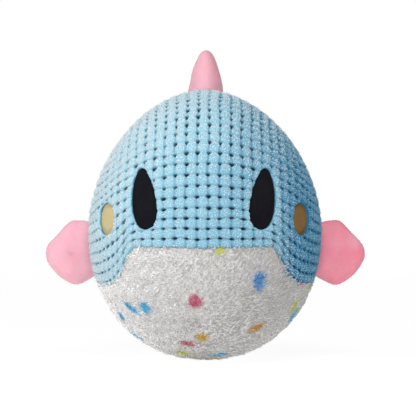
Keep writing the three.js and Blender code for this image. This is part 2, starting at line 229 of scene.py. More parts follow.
def noiseOf(nodes, links, scale, detail=3.0):
    place = nodes.new("ShaderNodeTexCoord")
    noise = nodes.new("ShaderNodeTexNoise")
    noise.inputs["Scale"].default_value = scale
    noise.inputs["Detail"].default_value = detail
    noise.inputs["Roughness"].default_value = 0.6
    links.new(place.outputs["Object"], noise.inputs["Vector"])
    return noise


def bumpFrom(nodes, links, shader, height, strength, distance):
    bump = nodes.new("ShaderNodeBump")
    bump.inputs["Strength"].default_value = strength
    bump.inputs["Distance"].default_value = distance
    links.new(height, bump.inputs["Height"])
    links.new(bump.outputs["Normal"], shader.inputs["Normal"])


def mathOf(nodes, links, operation, first, second):
    node = nodes.new("ShaderNodeMath")
    node.operation = operation
    for socket, value in zip(node.inputs, (first, second)):
        if isinstance(value, (int, float)):
            socket.default_value = value
        else:
            links.new(value, socket)
    return node.outputs[0]


def mixOf(nodes, links, share, first, second, blend="MIX"):
    node = nodes.new("ShaderNodeMix")
    node.data_type = "RGBA"
    node.blend_type = blend
    for socket, value in zip((node.inputs[0], node.inputs[6], node.inputs[7]), (share, first, second)):
        if isinstance(value, (int, float)):
            socket.default_value = value
        elif isinstance(value, tuple):
            socket.default_value = (*value, 1)
        else:
            links.new(value, socket)
    return node.outputs[2]


def wafflePlush():
    mat, nodes, links, shader = newMaterial("wafflePlush", 0.95, 0.2, (0.85, 0.93, 1.0), 0.12)
    # the tone attribute holds painted light and shade as well as the hairs' own tones
    tone = attributeOf(nodes, "tone")
    hole = attributeOf(nodes, "hole")
    grain = noiseOf(nodes, links, 1500)
    lifted = mathOf(nodes, links, "MULTIPLY_ADD", grain.outputs["Fac"], 0.3)
    links.new(tone.outputs["Fac"], lifted.node.inputs[2])
    shaded = mathOf(nodes, links, "SUBTRACT", lifted, 0.15)
    stops = [(0, "waffleRootShade"), (0.4, "waffleMiddle"), (0.7, "wafflePale"), (1, "waffleTipLight")]
    ramp = rampOf(nodes, [(place, finish[name]) for place, name in stops])
    links.new(shaded, ramp.inputs["Fac"])
    # painted shade: the holes and the turned-in hem are mixed towards a dark colour
    colour = mixOf(nodes, links, hole.outputs["Fac"], ramp.outputs["Color"], finish["holeShade"])
    links.new(colour, shader.inputs["Base Color"])
    bumpFrom(nodes, links, shader, grain.outputs["Fac"], 0.4, 0.0004)
    return mat


def bellyFleece():
    mat, nodes, links, shader = newMaterial("bellyFleece", 0.95, 0.5, (1, 1, 1), 0.15)
    tone = attributeOf(nodes, "tone")
    dye = attributeOf(nodes, "dye")
    grain = noiseOf(nodes, links, 1300)
    # the ramp runs from painted shade at the roots to the fleece's white at the tips
    ramp = rampOf(nodes, [(0, finish["fleeceRootShade"]), (1, finish["fleeceTip"])])
    links.new(tone.outputs["Fac"], ramp.inputs["Fac"])
    dyed = mixOf(nodes, links, dye.outputs["Alpha"], ramp.outputs["Color"], dye.outputs["Color"])
    fibres = mathOf(nodes, links, "MULTIPLY_ADD", grain.outputs["Fac"], 0.25)
    fibres.node.inputs[2].default_value = 0.875
    colour = mixOf(nodes, links, 1.0, dyed, fibres, "MULTIPLY")
    links.new(colour, shader.inputs["Base Color"])
    bumpFrom(nodes, links, shader, grain.outputs["Fac"], 0.4, 0.0004)
    return mat


def nappedCloth(name, base, nap, scale, sheen, depth, shine=0.2):
    # the painted light attribute says how much paler the nap is painted at a spot, paler on the lit side
    # and deeper in shade
    mat, nodes, links, shader = newMaterial(name, 0.95, sheen, nap, shine)
    grain = noiseOf(nodes, links, scale, 4)
    cloud = noiseOf(nodes, links, scale / 40, 2)
    mixed = mathOf(nodes, links, "MULTIPLY_ADD", cloud.outputs["Fac"], 0.5)
    links.new(grain.outputs["Fac"], mixed.node.inputs[2])
    paintedLight = attributeOf(nodes, "paintedLight")
    napLight = mathOf(nodes, links, "ADD", mixed, paintedLight.outputs["Fac"])
    ramp = rampOf(nodes, [(0.45, base), (1.0, nap)])
    links.new(napLight, ramp.inputs["Fac"])
    links.new(ramp.outputs["Color"], shader.inputs["Base Color"])
    bumpFrom(nodes, links, shader, grain.outputs["Fac"], 0.6, depth)
    return mat


def mouldedPlastic(name, colour, roughness, scale):
    mat, nodes, links, shader = newMaterial(name, roughness, 0.0, (1, 1, 1), 0.5)
    flow = noiseOf(nodes, links, scale, 2)
    darker = tuple(0.88 * c for c in colour)
    ramp = rampOf(nodes, [(0.35, darker), (0.65, colour)])
    links.new(flow.outputs["Fac"], ramp.inputs["Fac"])
    links.new(ramp.outputs["Color"], shader.inputs["Base Color"])
    fine = noiseOf(nodes, links, scale * 30, 2)
    bumpFrom(nodes, links, shader, fine.outputs["Fac"], 0.2, 0.00005)
    return mat


waffleMaterial = wafflePlush()
fleeceMaterial = bellyFleece()
pinkMaterial = nappedCloth("pinkNapAndLight", finish["pink"], finish["pinkNapAndLight"], 2600, 0.15, 0.00025)
pinkShader = pinkMaterial.node_tree.nodes["Principled BSDF"]
pinkShader.inputs["Subsurface Weight"].default_value = 0.35
pinkShader.inputs["Subsurface Radius"].default_value = (1.0, 0.25, 0.30)
pinkShader.inputs["Subsurface Scale"].default_value = 0.005
blackMaterial = nappedCloth("blackFelt", finish["black"], finish["blackNap"], 1800, 0.0, 0.0002, 0.03)
tanMaterial = nappedCloth("tanFelt", finish["tan"], finish["tanNapAndLight"], 1800, 0.1, 0.0002)
fibreMaterial = nappedCloth("fibreFill", finish["fibre"], finish["fibreTips"], 700, 0.2, 0.0006)
plasticMaterial = mouldedPlastic("squeakerPlastic", finish["plastic"], 0.42, 90)
filmMaterial = mouldedPlastic("reedFilm", finish["film"], 0.3, 160)
print("materials made")

# The body's round: everything on the ball is placed by a direction from its middle

body = {
    "width": 0.150,
    "depth": 0.156,
    "crownRise": 0.0905,
    "bellyDrop": 0.0834,
    "widestHeight": 0.0829,
    "crownPower": 1.85,
    "bellyPower": 2.15,
    "crossSeam": 0.010,  # the seam over the crown and down both sides
    "hem": 0.003,  # how far each panel turns in at its edge
    "markDepth": 0.0015,
}
bodyMiddle = np.array([0, 0, body["widestHeight"]])


def onEgg(directions, sink=0.0):
    halfWidth = body["width"] / 2 - sink
    halfDepth = body["depth"] / 2 - sink
    up = directions[:, 2] > 0
    rise = np.where(up, body["crownRise"], body["bellyDrop"]) - sink
    power = np.where(up, body["crownPower"], body["bellyPower"])
    ring = np.maximum(np.hypot(directions[:, 0] / halfWidth, directions[:, 1] / halfDepth), 1e-9)
    height = np.abs(directions[:, 2]) / rise
    reach = (ring**power + height**power) ** (-1 / power)
    slope = ring ** (power - 2)
    normals = np.stack(
        [
            slope * directions[:, 0] / halfWidth**2,
            slope * directions[:, 1] / halfDepth**2,
            height ** (power - 1) * np.sign(directions[:, 2]) / rise,
        ],
        1,
    )
    return directions * reach[:, None] + bodyMiddle, unit(normals)


def tangentsOf(normals):
    # east runs to the right round the ball, and north up it
    east = np.cross(np.array([0.0, 0.0, 1.0]), normals)
    east = unit(east + np.array([1e-9, 0, 0]))
    return east, np.cross(normals, east)


def asSeen(points):
    # the ground lies under the pile's tips; this finds the spot on the round that is in line with it
    # for someone in front of the toy, since all the marks below are placed as they look from there
    _, normals = onEgg(unit(points - bodyMiddle))
    ahead = np.maximum(-normals[:, 1], 0.05)
    depth = body["markDepth"] * smoothStep(0.0, 0.5, -normals[:, 1])
    moved = points - normals * depth[:, None]
    moved[:, 1] -= depth / ahead
    return moved


# The seam round the belly: share of half a turn from the middle of the face, and share of the way
# from the flank's height up to the bib's

bellySeam = {
    "bibHeight": 0.074,
    "flankHeight": 0.0495,
    "shares": [
        (0, 0.97), (0.06, 0.995), (0.12, 1), (0.17, 1), (0.19, 0.98), (0.205, 0.88), (0.222, 0.67),
        (0.239, 0.43), (0.256, 0.27), (0.278, 0.15), (0.306, 0.06), (0.344, 0.01), (0.4, 0),
        (0.5, 0), (0.6, -0.03), (0.75, -0.1), (0.9, -0.15), (1, -0.16),
    ],
}


def seamHeight(turn):
    share = throughPoints(bellySeam["shares"], np.abs(turn) / math.pi)
    return bellySeam["flankHeight"] + share * (bellySeam["bibHeight"] - bellySeam["flankHeight"])


def aboveSeam(points):
    turn = np.arctan2(points[:, 0] / body["width"], -points[:, 1] / body["depth"])
    step = 0.01
    around = step * body["width"]
    slope = (seamHeight(turn + step) - seamHeight(turn - step)) / around
    return (points[:, 2] - seamHeight(turn)) / np.sqrt(1 + slope**2)


# Where the eyes and cheeks show through the face

eye = {
    "width": 0.0177,
    "height": 0.0393,
    "centre": 0.104,
    "azimuth": 29.9,
    "tilt": 16.5,
    "swell": 0.24,  # how much wider it is below than above
    "bend": 0.08,
    "napLight": 0,  # painted light: how much paler the left one's nap is than the right one's
}
cheek = {
    "width": 0.0178,
    "height": 0.0207,
    "centre": 0.091,
    "azimuth": 53.5,
    "tilt": 26,
    "swell": 0.03,
    "bend": 0,
    # painted light: the left cheek paler and the right one deeper
    "napLight": 0.36,
}
patchCorner = 2.2  # 2 would be a plain oval, and more is squarer
felt = {"recess": 0.0009, "edgeRecess": 0.0019, "border": 0.0028, "dent": 0.00012, "thickness": 0.001}


def patchPlace(points, patch, side):
    # across and up on a patch, in half widths and half heights
    azimuth = math.radians(side * patch["azimuth"])
    tilt = math.radians(side * patch["tilt"])
    across = points[:, 0] * math.cos(azimuth) + points[:, 1] * math.sin(azimuth)
    up = points[:, 2] - patch["centre"]
    facing = points[:, 0] * math.sin(azimuth) - points[:, 1] * math.cos(azimuth)
    a = across * math.cos(tilt) - up * math.sin(tilt)
    h = across * math.sin(tilt) + up * math.cos(tilt)
    h = h / (patch["height"] / 2)
    a = a / (patch["width"] / 2) - side * patch["bend"] * np.clip(h, 0, 1.2) ** 2
    return a / (1 - patch["swell"] * np.clip(h, -1.2, 1.2)), h, facing


def outsidePatch(points, patch, side):
    a, h, facing = patchPlace(points, patch, side)
    ring = (np.abs(a) ** patchCorner + np.abs(h) ** patchCorner) ** (1 / patchCorner)
    ring = np.maximum(ring, 1e-6)
    reach = ring / np.hypot(a / (patch["width"] / 2), h / (patch["height"] / 2)).clip(1e-6)
    away = (ring - 1) * reach
    return np.where(facing > 0, away, 1.0)


def seamGap(points):
    return aboveSeam(asSeen(points))


def outsidePatches(points):
    gaps = [outsidePatch(points, patch, side) for patch in (eye, cheek) for side in (-1, 1)]
    return np.minimum.reduce(gaps)


# The waffle: squares are counted across in columns and up in rows from the belly seam

waffle = {
    "columnPitch": 0.0070,
    "rowPitch": 0.00672,
    "rowSwing": 0.0024,  # rows lie closer near the seam and wider above the eyes
    "swingRows": 18,
    "firstRow": 0.0741,  # height of the first row line, at the middle of the face
    "fan": 26.0,  # degrees up the face where a row runs straight back
    "fanFrom": (0.120, 0.155),  # heights between which rows pass from the face's way to the fan
    "columnsTurn": (0.090, 0.165),  # and columns from following the round to following the crown
    "gather": 0.45,  # how much closer columns lie low on the flanks
    "gatherFrom": 0.055,
    "gatherTo": (0.12, 0.08),
    "backDroop": 1.5,  # how rows sink away from the middle of the back
    "backLow": 0.0457,
    "drift": (0.05, 0.06),  # how far columns and rows stray, in squares
    "dome": 0.00045,
    "domePower": 0.35,  # lower is flatter on top
    "grooveWidth": 0.00072,
    "grooveDepth": 0.0010,
    "rowGroove": 0.85,  # grooves between rows are this share of those between columns
    "dimple": 0.00025,
    "dimpleWidth": 0.0020,
    "holeWidth": 0.00125,
    "holeHeight": 0.00085,
    "holeVariety": 0.22,
    "crownSpread": 0.7,  # how much longer holes get where the cloth is pulled over the crown
    "flankSpread": 0.7,  # and how much wider round the flanks
    "browShrink": 1.3,  # and how much smaller over the brow
    "holeDepth": 0.0028,
    "top": -0.0004,  # of the squares, under the pile's tips
    "uneven": 0.0001,  # how much squares differ in height
    "pinch": 0.0005,  # how deep the cloth is drawn in at seams and cut-outs
    "pinchWidth": 0.0016,
}
rowDroop = {
    "least": 3.4,  # how fast rows sink away from the middle of the face
    "aboveRow": 7,  # each row over this one sinks faster
    "perRow": 0.55,
    "most": (0.0242, 0.0325),  # how far low rows and high rows sink
    "mostPerRow": 0.0011,
    "turn": 6.0,  # more is a sharper turn from sinking to level
    "seamRows": 6,  # up to this row they follow the seam as well
}
randomSquares = 96  # the random table repeats after this many squares
squareRandom = np.random.default_rng(5).uniform(-1, 1, (2, randomSquares, randomSquares))


def profileTable():
    # up the middle of the face: height, distance along the surface from the first row line, and angle
    angles = np.radians(np.linspace(-89.9, 89.9, 800))
    directions = np.stack([0 * angles, -np.cos(angles), np.sin(angles)], 1)
    points, _ = onEgg(directions)
    steps = np.linalg.norm(np.diff(points, axis=0), axis=1)
    along = np.concatenate([[0], np.cumsum(steps)])
    along -= np.interp(waffle["firstRow"], points[:, 2], along)
    rise = points[:, 2] - body["widestHeight"]
    scaled = np.where(rise > 0, rise / body["crownRise"], rise / body["bellyDrop"])
    lean = np.degrees(np.arctan2(scaled, -points[:, 1] / (body["depth"] / 2)))
    return points[:, 2], along, lean


profileHeight, profileAlong, profileLean = profileTable()


def rowAlong(row):
    swing = waffle["rowSwing"] * np.sin(2 * math.pi * row / waffle["swingRows"])
    return waffle["rowPitch"] * row - swing


rowList = np.linspace(-8, 60, 700)
rowAlongList = rowAlong(rowList)


def rowDrop(row, across):
    # how far a row of the face has sunk at a distance across from the middle
    turn = across / (body["width"] / 2)
    nearSeam = bellySeam["bibHeight"] - seamHeight(np.clip(turn, 0, math.pi))
    faster = rowDroop["perRow"] * np.maximum(row - rowDroop["aboveRow"], 0)
    sinking = (rowDroop["least"] + faster) * across**2 + 1e-6
    least, greatest = rowDroop["most"]
    most = np.clip(least + rowDroop["mostPerRow"] * (row - 4), least, greatest)
    power = -rowDroop["turn"]
    soft = (sinking**power + most**power) ** (1 / power)
    share = np.clip(row / rowDroop["seamRows"], 0, 1)
    return (1 - share) * nearSeam + share * soft


def rowTable():
    acrossList = np.linspace(0, 0.135, 136)
    alongList = np.linspace(-0.08, 0.20, 561)
    rows = np.empty((len(acrossList), len(alongList)))
    for i, across in enumerate(acrossList):
        line = rowAlongList - rowDrop(rowList, np.full(len(rowList), across))
        rows[i] = np.interp(alongList, np.maximum.accumulate(line), rowList)
    return acrossList, alongList, rows


acrossList, alongList, rowsBySide = rowTable()


def lookUpRow(across, along):
    i = np.clip(across / acrossList[-1] * (len(acrossList) - 1), 0, len(acrossList) - 1.001)
    j = (along - alongList[0]) / (alongList[-1] - alongList[0]) * (len(alongList) - 1)
    j = np.clip(j, 0, len(alongList) - 1.001)
    i0, j0 = i.astype(int), j.astype(int)
    fi, fj = i - i0, j - j0
    low = rowsBySide[i0, j0] * (1 - fj) + rowsBySide[i0, j0 + 1] * fj
    high = rowsBySide[i0 + 1, j0] * (1 - fj) + rowsBySide[i0 + 1, j0 + 1] * fj
    return low * (1 - fi) + high * fi


def waffleCount(points, back):
    # column and row number at points of the body, counted from the middle of the face or the back
    x, y, z = points[:, 0], points[:, 1], points[:, 2]
    y = -y if back else y
    around = np.hypot(x, y)
    across = around * np.abs(np.arctan2(x, -y))
    rise = z - body["widestHeight"]
    up = np.where(rise > 0, rise / body["crownRise"], rise / body["bellyDrop"])
    v = unit(np.stack([x / (body["width"] / 2), y / (body["depth"] / 2), up], 1))
    sideways = np.arcsin(np.clip(np.abs(v[:, 0]), 0, 1))
    lean = np.degrees(np.arctan2(v[:, 2], -v[:, 1]))
    high = smoothStep(*waffle["columnsTurn"], z)
    gathered = waffle["gather"] * np.maximum(across - waffle["gatherFrom"], 0)
    gathered = gathered * smoothStep(*waffle["gatherTo"], z)
    across = across + gathered
    column = (across * (1 - high) + sideways * body["width"] / 2 * high) / waffle["columnPitch"]
    column *= np.sign(x)
    along = np.interp(z, profileHeight, profileAlong)
    if back:
        turn = np.arctan2(x / body["width"], y / body["depth"])
        seamAlong = np.interp(seamHeight(turn), profileHeight, profileAlong)
        rowLow = along - seamAlong + waffle["backDroop"] * (across - gathered) ** 2
        rowLow = rowLow / waffle["rowPitch"]
        rowShift = -np.interp(waffle["backLow"], profileHeight, profileAlong) / waffle["rowPitch"]
    else:
        rowLow = lookUpRow(across - gathered, along)
        rowShift = 0
    fanned = waffle["fan"] + (lean - waffle["fan"]) * np.sqrt(np.cos(np.minimum(sideways, 1.4)))
    overTop = np.where(fanned > 90, 180 - fanned, fanned)
    crownAlong = profileAlong[-1]
    alongTop = np.interp(overTop, profileLean, profileAlong)
    alongTop = np.where(fanned > 90, 2 * crownAlong - alongTop, alongTop)
    rowHigh = np.interp(alongTop, rowAlongList, rowList) + rowShift
    share = smoothStep(*waffle["fanFrom"], z)
    row = rowLow * (1 - share) + rowHigh * share
    return column, row


def waffleRelief(points, back):
    # height over the round, the same without the holes, how far in a hole, and how low on a square
    edge = np.minimum(np.abs(seamGap(points)), np.abs(points[:, 1] - body["crossSeam"]))
    if back:
        edge = np.minimum(edge, np.abs(points[:, 0]))
        shallow = 1.0
    else:
        points = asSeen(points)
        toPatch = outsidePatches(points)
        edge = np.minimum(edge, np.abs(toPatch))
        shallow = 0.4 + 0.6 * smoothStep(0.0025, 0.0045, toPatch)
    column, row = waffleCount(points, back)
    column = column + waffle["drift"][0] * wander(points, 0.019, 11)
    row = row + waffle["drift"][1] * wander(points, 0.017, 12)
    columnLine = np.round(column + 0.5)
    rowLine = np.round(row)
    toColumn = np.abs(column + 0.5 - columnLine) * waffle["columnPitch"]
    toRow = np.abs(row - rowLine) * waffle["rowPitch"]
    atSquare = np.floor(column + 0.5).astype(int) % randomSquares, np.floor(row).astype(int) % randomSquares
    atHole = columnLine.astype(int) % randomSquares, rowLine.astype(int) % randomSquares
    outward = unit(points - bodyMiddle)
    crown = smoothStep(0.50, 0.85, outward[:, 2])
    flank = smoothStep(0.50, 0.90, np.abs(outward[:, 0]))
    edgeOn = smoothStep(0.55, 0.1, np.abs(outward[:, 1]))
    pillow = np.abs(np.sin(math.pi * (column + 0.5))) ** waffle["domePower"]
    pillow = pillow * np.abs(np.sin(math.pi * row)) ** (waffle["domePower"] - 0.30 * crown)
    rowShare = waffle["rowGroove"] * (1 - 0.8 * crown) * (1 - 0.6 * flank)
    columnShare = 1 - 0.25 * flank
    columnGroove = columnShare * np.exp(-((toColumn / waffle["grooveWidth"]) ** 2))
    rowGroove = rowShare * np.exp(-((toRow / waffle["grooveWidth"]) ** 2))
    groove = np.maximum(columnGroove, rowGroove)
    size = 1 + waffle["holeVariety"] * squareRandom[0][atHole]
    holeX = toColumn / (waffle["holeWidth"] * size * (1 + waffle["flankSpread"] * flank - 0.25 * crown))
    holeZ = toRow / (waffle["holeHeight"] * size * (1 + waffle["crownSpread"] * crown - 0.15 * flank))
    small = 1.1 + waffle["browShrink"] * crown * (1 - crown)
    hole = np.exp(-((small * (holeX**2 + holeZ**2)) ** 1.6))
    dimple = np.exp(-((toColumn**2 + 1.3 * toRow**2) / waffle["dimpleWidth"] ** 2))
    pinch = waffle["pinch"] * np.exp(-((edge / waffle["pinchWidth"]) ** 2))
    hole = hole * smoothStep(0.0006, 0.0018, edge)
    top = waffle["top"] + waffle["uneven"] * squareRandom[1][atSquare]
    flat = (1 - 0.4 * np.maximum(flank, 0.4 * crown)) * (1 - 0.65 * edgeOn)
    plain = top + waffle["dome"] * flat * (pillow - 1) - waffle["grooveDepth"] * flat * groove
    plain = plain - waffle["dimple"] * flat * dimple - pinch
    shallow = shallow * (1 - 0.4 * crown)
    return plain - waffle["holeDepth"] * hole * shallow, plain, hole, np.maximum(groove, dimple)


# Panels are trimmed from one ball of even squares, made from six sheets

sheetWidth = 0.118


def squareOf(cuts):
    return sheetWidth / math.prod(number + 1 for number in cuts)


def ballBlank(name, cuts):
    bpy.ops.mesh.primitive_cube_add(size=2)
    obj = newPiece(name)
    bpy.ops.object.mode_set(mode="EDIT")
    for number in cuts:
        bpy.ops.mesh.subdivide(number_cuts=number)
    bpy.ops.object.mode_set(mode="OBJECT")
    movePoints(obj, unit(np.tan(pointsOf(obj) * math.pi / 4)))
    return obj


def deleteFaces(obj, doomed):
    mesh = obj.data
    mesh.vertices.foreach_set("select", np.zeros(len(mesh.vertices), bool))
    mesh.edges.foreach_set("select", np.zeros(len(mesh.edges), bool))
    mesh.polygons.foreach_set("select", doomed)
    makeActive(obj)
    bpy.ops.object.mode_set(mode="EDIT")
    bpy.ops.mesh.select_mode(type="FACE")
    bpy.ops.mesh.delete(type="FACE")
    bpy.ops.object.mode_set(mode="OBJECT")


def trimPanel(blank, name, inside, cuts):
    # points near the panel's outline are drawn onto it, and the faces past it deleted
    obj = copyPiece(blank, name)
    points, normals = onEgg(pointsOf(obj))
    east, north = tangentsOf(normals)
    gap = inside(points)
    near = np.abs(gap) < 0.55 * squareOf(cuts)
    step = 0.0001
    slopeEast = (inside(points[near] + step * east[near]) - gap[near]) / step
    slopeNorth = (inside(points[near] + step * north[near]) - gap[near]) / step
    slope = slopeEast[:, None] * east[near] + slopeNorth[:, None] * north[near]
    slope /= np.maximum((slope**2).sum(1, keepdims=True), 0.25)
    points[near] -= gap[near, None] * slope
    directions = unit(points - bodyMiddle)
    movePoints(obj, directions)
    centres = np.empty(len(obj.data.polygons) * 3)
    obj.data.polygons.foreach_get("center", centres)
    centrePoints, _ = onEgg(unit(centres.reshape(-1, 3)))
    deleteFaces(obj, inside(centrePoints) < 0)
    return obj


def turnEdgeIn(obj):
    # extrudes the open edge, and returns which points are the new ones
    makeActive(obj)
    bpy.ops.object.mode_set(mode="EDIT")
    bpy.ops.mesh.select_mode(type="EDGE")
    bpy.ops.mesh.select_all(action="DESELECT")
    bpy.ops.mesh.select_non_manifold(
        extend=False,
        use_wire=False,
        use_boundary=True,
        use_multi_face=False,
        use_non_contiguous=False,
        use_verts=False,
    )
    bpy.ops.mesh.extrude_region_move(TRANSFORM_OT_translate={"value": (0, 0, 0)})
    bpy.ops.object.mode_set(mode="OBJECT")
    turned = np.empty(len(obj.data.vertices), bool)
    obj.data.vertices.foreach_get("select", turned)
    return turned


def mapFrom(obj, axis, most):
    # a flat map of a panel as seen along an axis, so that pile and ground share their places
    points = unit(pointsOf(obj) - bodyMiddle)
    ways = {"-y": ((1, 0, 0), (0, 0, 1)), "y": ((-1, 0, 0), (0, 0, 1)), "-z": ((1, 0, 0), (0, -1, 0))}
    first, second = ways[axis]
    outward = np.cross(second, first) * -1.0
    first, second = np.array(first, float), np.array(second, float)
    angle = np.arccos(np.clip(points @ outward, -1, 1)) / most
    flat = np.stack([points @ first, points @ second], 1)
    flat = flat / np.maximum(np.linalg.norm(flat, axis=1, keepdims=True), 1e-9)
    place = 0.5 + 0.49 * np.minimum(angle, 1)[:, None] * flat
    corners = np.empty(len(obj.data.loops), np.int32)
    obj.data.loops.foreach_get("vertex_index", corners)
    layer = obj.data.uv_layers.get("OFBake") or obj.data.uv_layers.new(name="OFBake")
    layer.uv.foreach_set("vector", place[corners].astype(np.float32).ravel())


# Pile: one lock of each kind is modelled, and each copy gets its own place, lean and size


def hairLock():
    bpy.ops.mesh.primitive_cone_add(vertices=3, radius1=0.5, radius2=0.0, depth=1, location=(0, 0, 0.5))
    return newPiece("hairLock")


def fleeceLock():
    height = 0.55
    middle = (0, 0, height / 2)
    bpy.ops.mesh.primitive_cone_add(vertices=3, radius1=0.42, radius2=0.40, depth=height, location=middle)
    obj = newPiece("fleeceLock")
    bpy.ops.object.mode_set(mode="EDIT")
    bpy.ops.mesh.select_all(action="DESELECT")
    bpy.ops.object.mode_set(mode="OBJECT")
    for face in obj.data.polygons:
        face.select = face.normal.z > 0.9
    bpy.ops.object.mode_set(mode="EDIT")
    bpy.ops.mesh.select_mode(type="FACE")
    bpy.ops.mesh.poke(offset=0.45)
    bpy.ops.object.mode_set(mode="OBJECT")
    return obj


def shapeOf(obj):
    # a lock's points and triangles, and the lock is done with
    makeActive(obj)
    bpy.ops.object.transform_apply(location=True, rotation=True, scale=True)
    obj.data.calc_loop_triangles()
    points = pointsOf(obj)
    triangles = np.array([t.vertices[:] for t in obj.data.loop_triangles])
    bpy.data.objects.remove(obj)
    return points, triangles


def meshFrom(name, points, triangles):
    mesh = bpy.data.meshes.new(name)
    mesh.vertices.add(len(points))
    mesh.vertices.foreach_set("co", points.ravel())
    mesh.loops.add(triangles.size)
    mesh.loops.foreach_set("vertex_index", triangles.ravel().astype(np.int32))
    mesh.polygons.add(len(triangles))
    mesh.polygons.foreach_set("loop_start", np.arange(0, triangles.size, 3, dtype=np.int32))
    mesh.update(calc_edges=True)
    obj = bpy.data.objects.new(name, mesh)
    bpy.context.collection.objects.link(obj)
    return obj


def plantPile(name, lock, roots, axes, widths, lengths, rng):
    # also gives how high each point is on its lock, 0 to 1
    points, triangles = lock
    count = len(roots)
    sideways = unit(np.cross(axes, unit(rng.normal(size=(count, 3)))))
    other = np.cross(axes, sideways)
    placed = (
        roots[:, None, :]
        + points[None, :, 0, None] * (sideways * widths[:, None])[:, None, :]
        + points[None, :, 1, None] * (other * widths[:, None])[:, None, :]
        + points[None, :, 2, None] * (axes * lengths[:, None])[:, None, :]
    )
    starts = np.arange(count)[:, None, None] * len(points)
    faces = (triangles[None] + starts).reshape(-1, 3)
    obj = meshFrom(name, placed.reshape(-1, 3), faces)
    up = np.tile(points[:, 2], count)
    return obj, up


def scatter(spacing, seed):
    # directions spread evenly over the ball, each a little out of line
    rng = np.random.default_rng(seed)
    count = int(round(sheetWidth / spacing))
    steps = (np.arange(count) + 0.5) / count * 2 - 1
    a, b = np.meshgrid(steps, steps)
    found = []
    for side in range(6):
        u = np.clip(a + rng.uniform(-0.9, 0.9, a.shape) / count, -1, 1).ravel()
        v = np.clip(b + rng.uniform(-0.9, 0.9, a.shape) / count, -1, 1).ravel()
        w = np.full(u.shape, 1.0 if side % 2 else -1.0)
        u, v = np.tan(u * math.pi / 4), np.tan(v * math.pi / 4)
        order = [(w, u, v), (v, w, u), (u, v, w)][side // 2]
        found.append(np.stack(order, 1))
    return unit(np.concatenate(found))


bluePile = {
    "spacing": 0.00085,
    "width": 0.00085,
    "length": 0.00105,
    "rooted": 0.0003,
    "comb": 0.2,
    "loose": 0.4,
    "slope": 0.6,  # how far hairs lean with the slope of the ground
    "tuft": 0.0019,  # how far apart the tufts lie that the hairs gather in
    "gather": 0.35,
    "ragged": 0.0004,  # how uneven the pile's edge is
    "bare": 0.08,  # holes are bare from this depth on
    "overSeam": 0.0012,  # how far hairs grow past the belly's seam
    "overhang": 1.3,  # and how strongly they are brushed down over it
    "clump": 0.0026,  # and how far apart the clumps lie that are
    "probe": 0.0003,  # step for finding the slope of the ground
}
# tones of the blue pile; besides the hairs' own tones and patches they hold painted light and shade
tones = {
    "root": 0.42,
    "tip": 0.84,
    "level": 0.19,
    "left": 0.48,  # painted light: paler to the left
    "right": 0.4,  # painted shade: deeper to the right
    "flank": 0.30,  # and deeper still on the right flank
    # painted light: paler on top
    "crown": 0.46,
    "edgeLight": 0.20,  # painted light: paler by the belly's seam and round the cut-outs
    "hair": 0.15,  # how much single hairs differ
    "patches": 0.05,
    # painted shade in the grooves and dimples, down the sides of squares and by the holes
    "groove": 0.5,
    "squareSideShade": 0.55,  # painted shade: darker down the sides of a square
    "hole": 0.4,
    # painted shade on the ground under the pile and on the turned-in hem
    "ground": 0.22,
    "turnedIn": 0.1,
}
hairShape = shapeOf(hairLock())
fleeceShape = shapeOf(fleeceLock())


def lightAndShadeAt(points, normals):
    # painted light and shade: paler to the left and on top, deeper to the right, and paler by the belly's
    # seam and round the cut-outs
    aside, up = normals[:, 0], normals[:, 2]
    toRight = smoothStep(0.0, 0.5, aside)
    tone = np.where(aside < 0, tones["left"] * np.abs(aside) ** 1.5, -tones["right"] * aside)
    tone -= tones["flank"] * smoothStep(0.58, 0.86, aside)
    tone += tones["level"] - 0.06 * toRight + (tones["crown"] - 0.25 * toRight) * np.maximum(up, 0) ** 2
    bySeam = smoothStep(0.035, 0.0, seamGap(points))
    byPatch = smoothStep(0.0036, 0.0018, outsidePatches(asSeen(points)))
    return tone + tones["edgeLight"] * (bySeam + byPatch) * toRight * smoothStep(0.80, 0.60, aside)


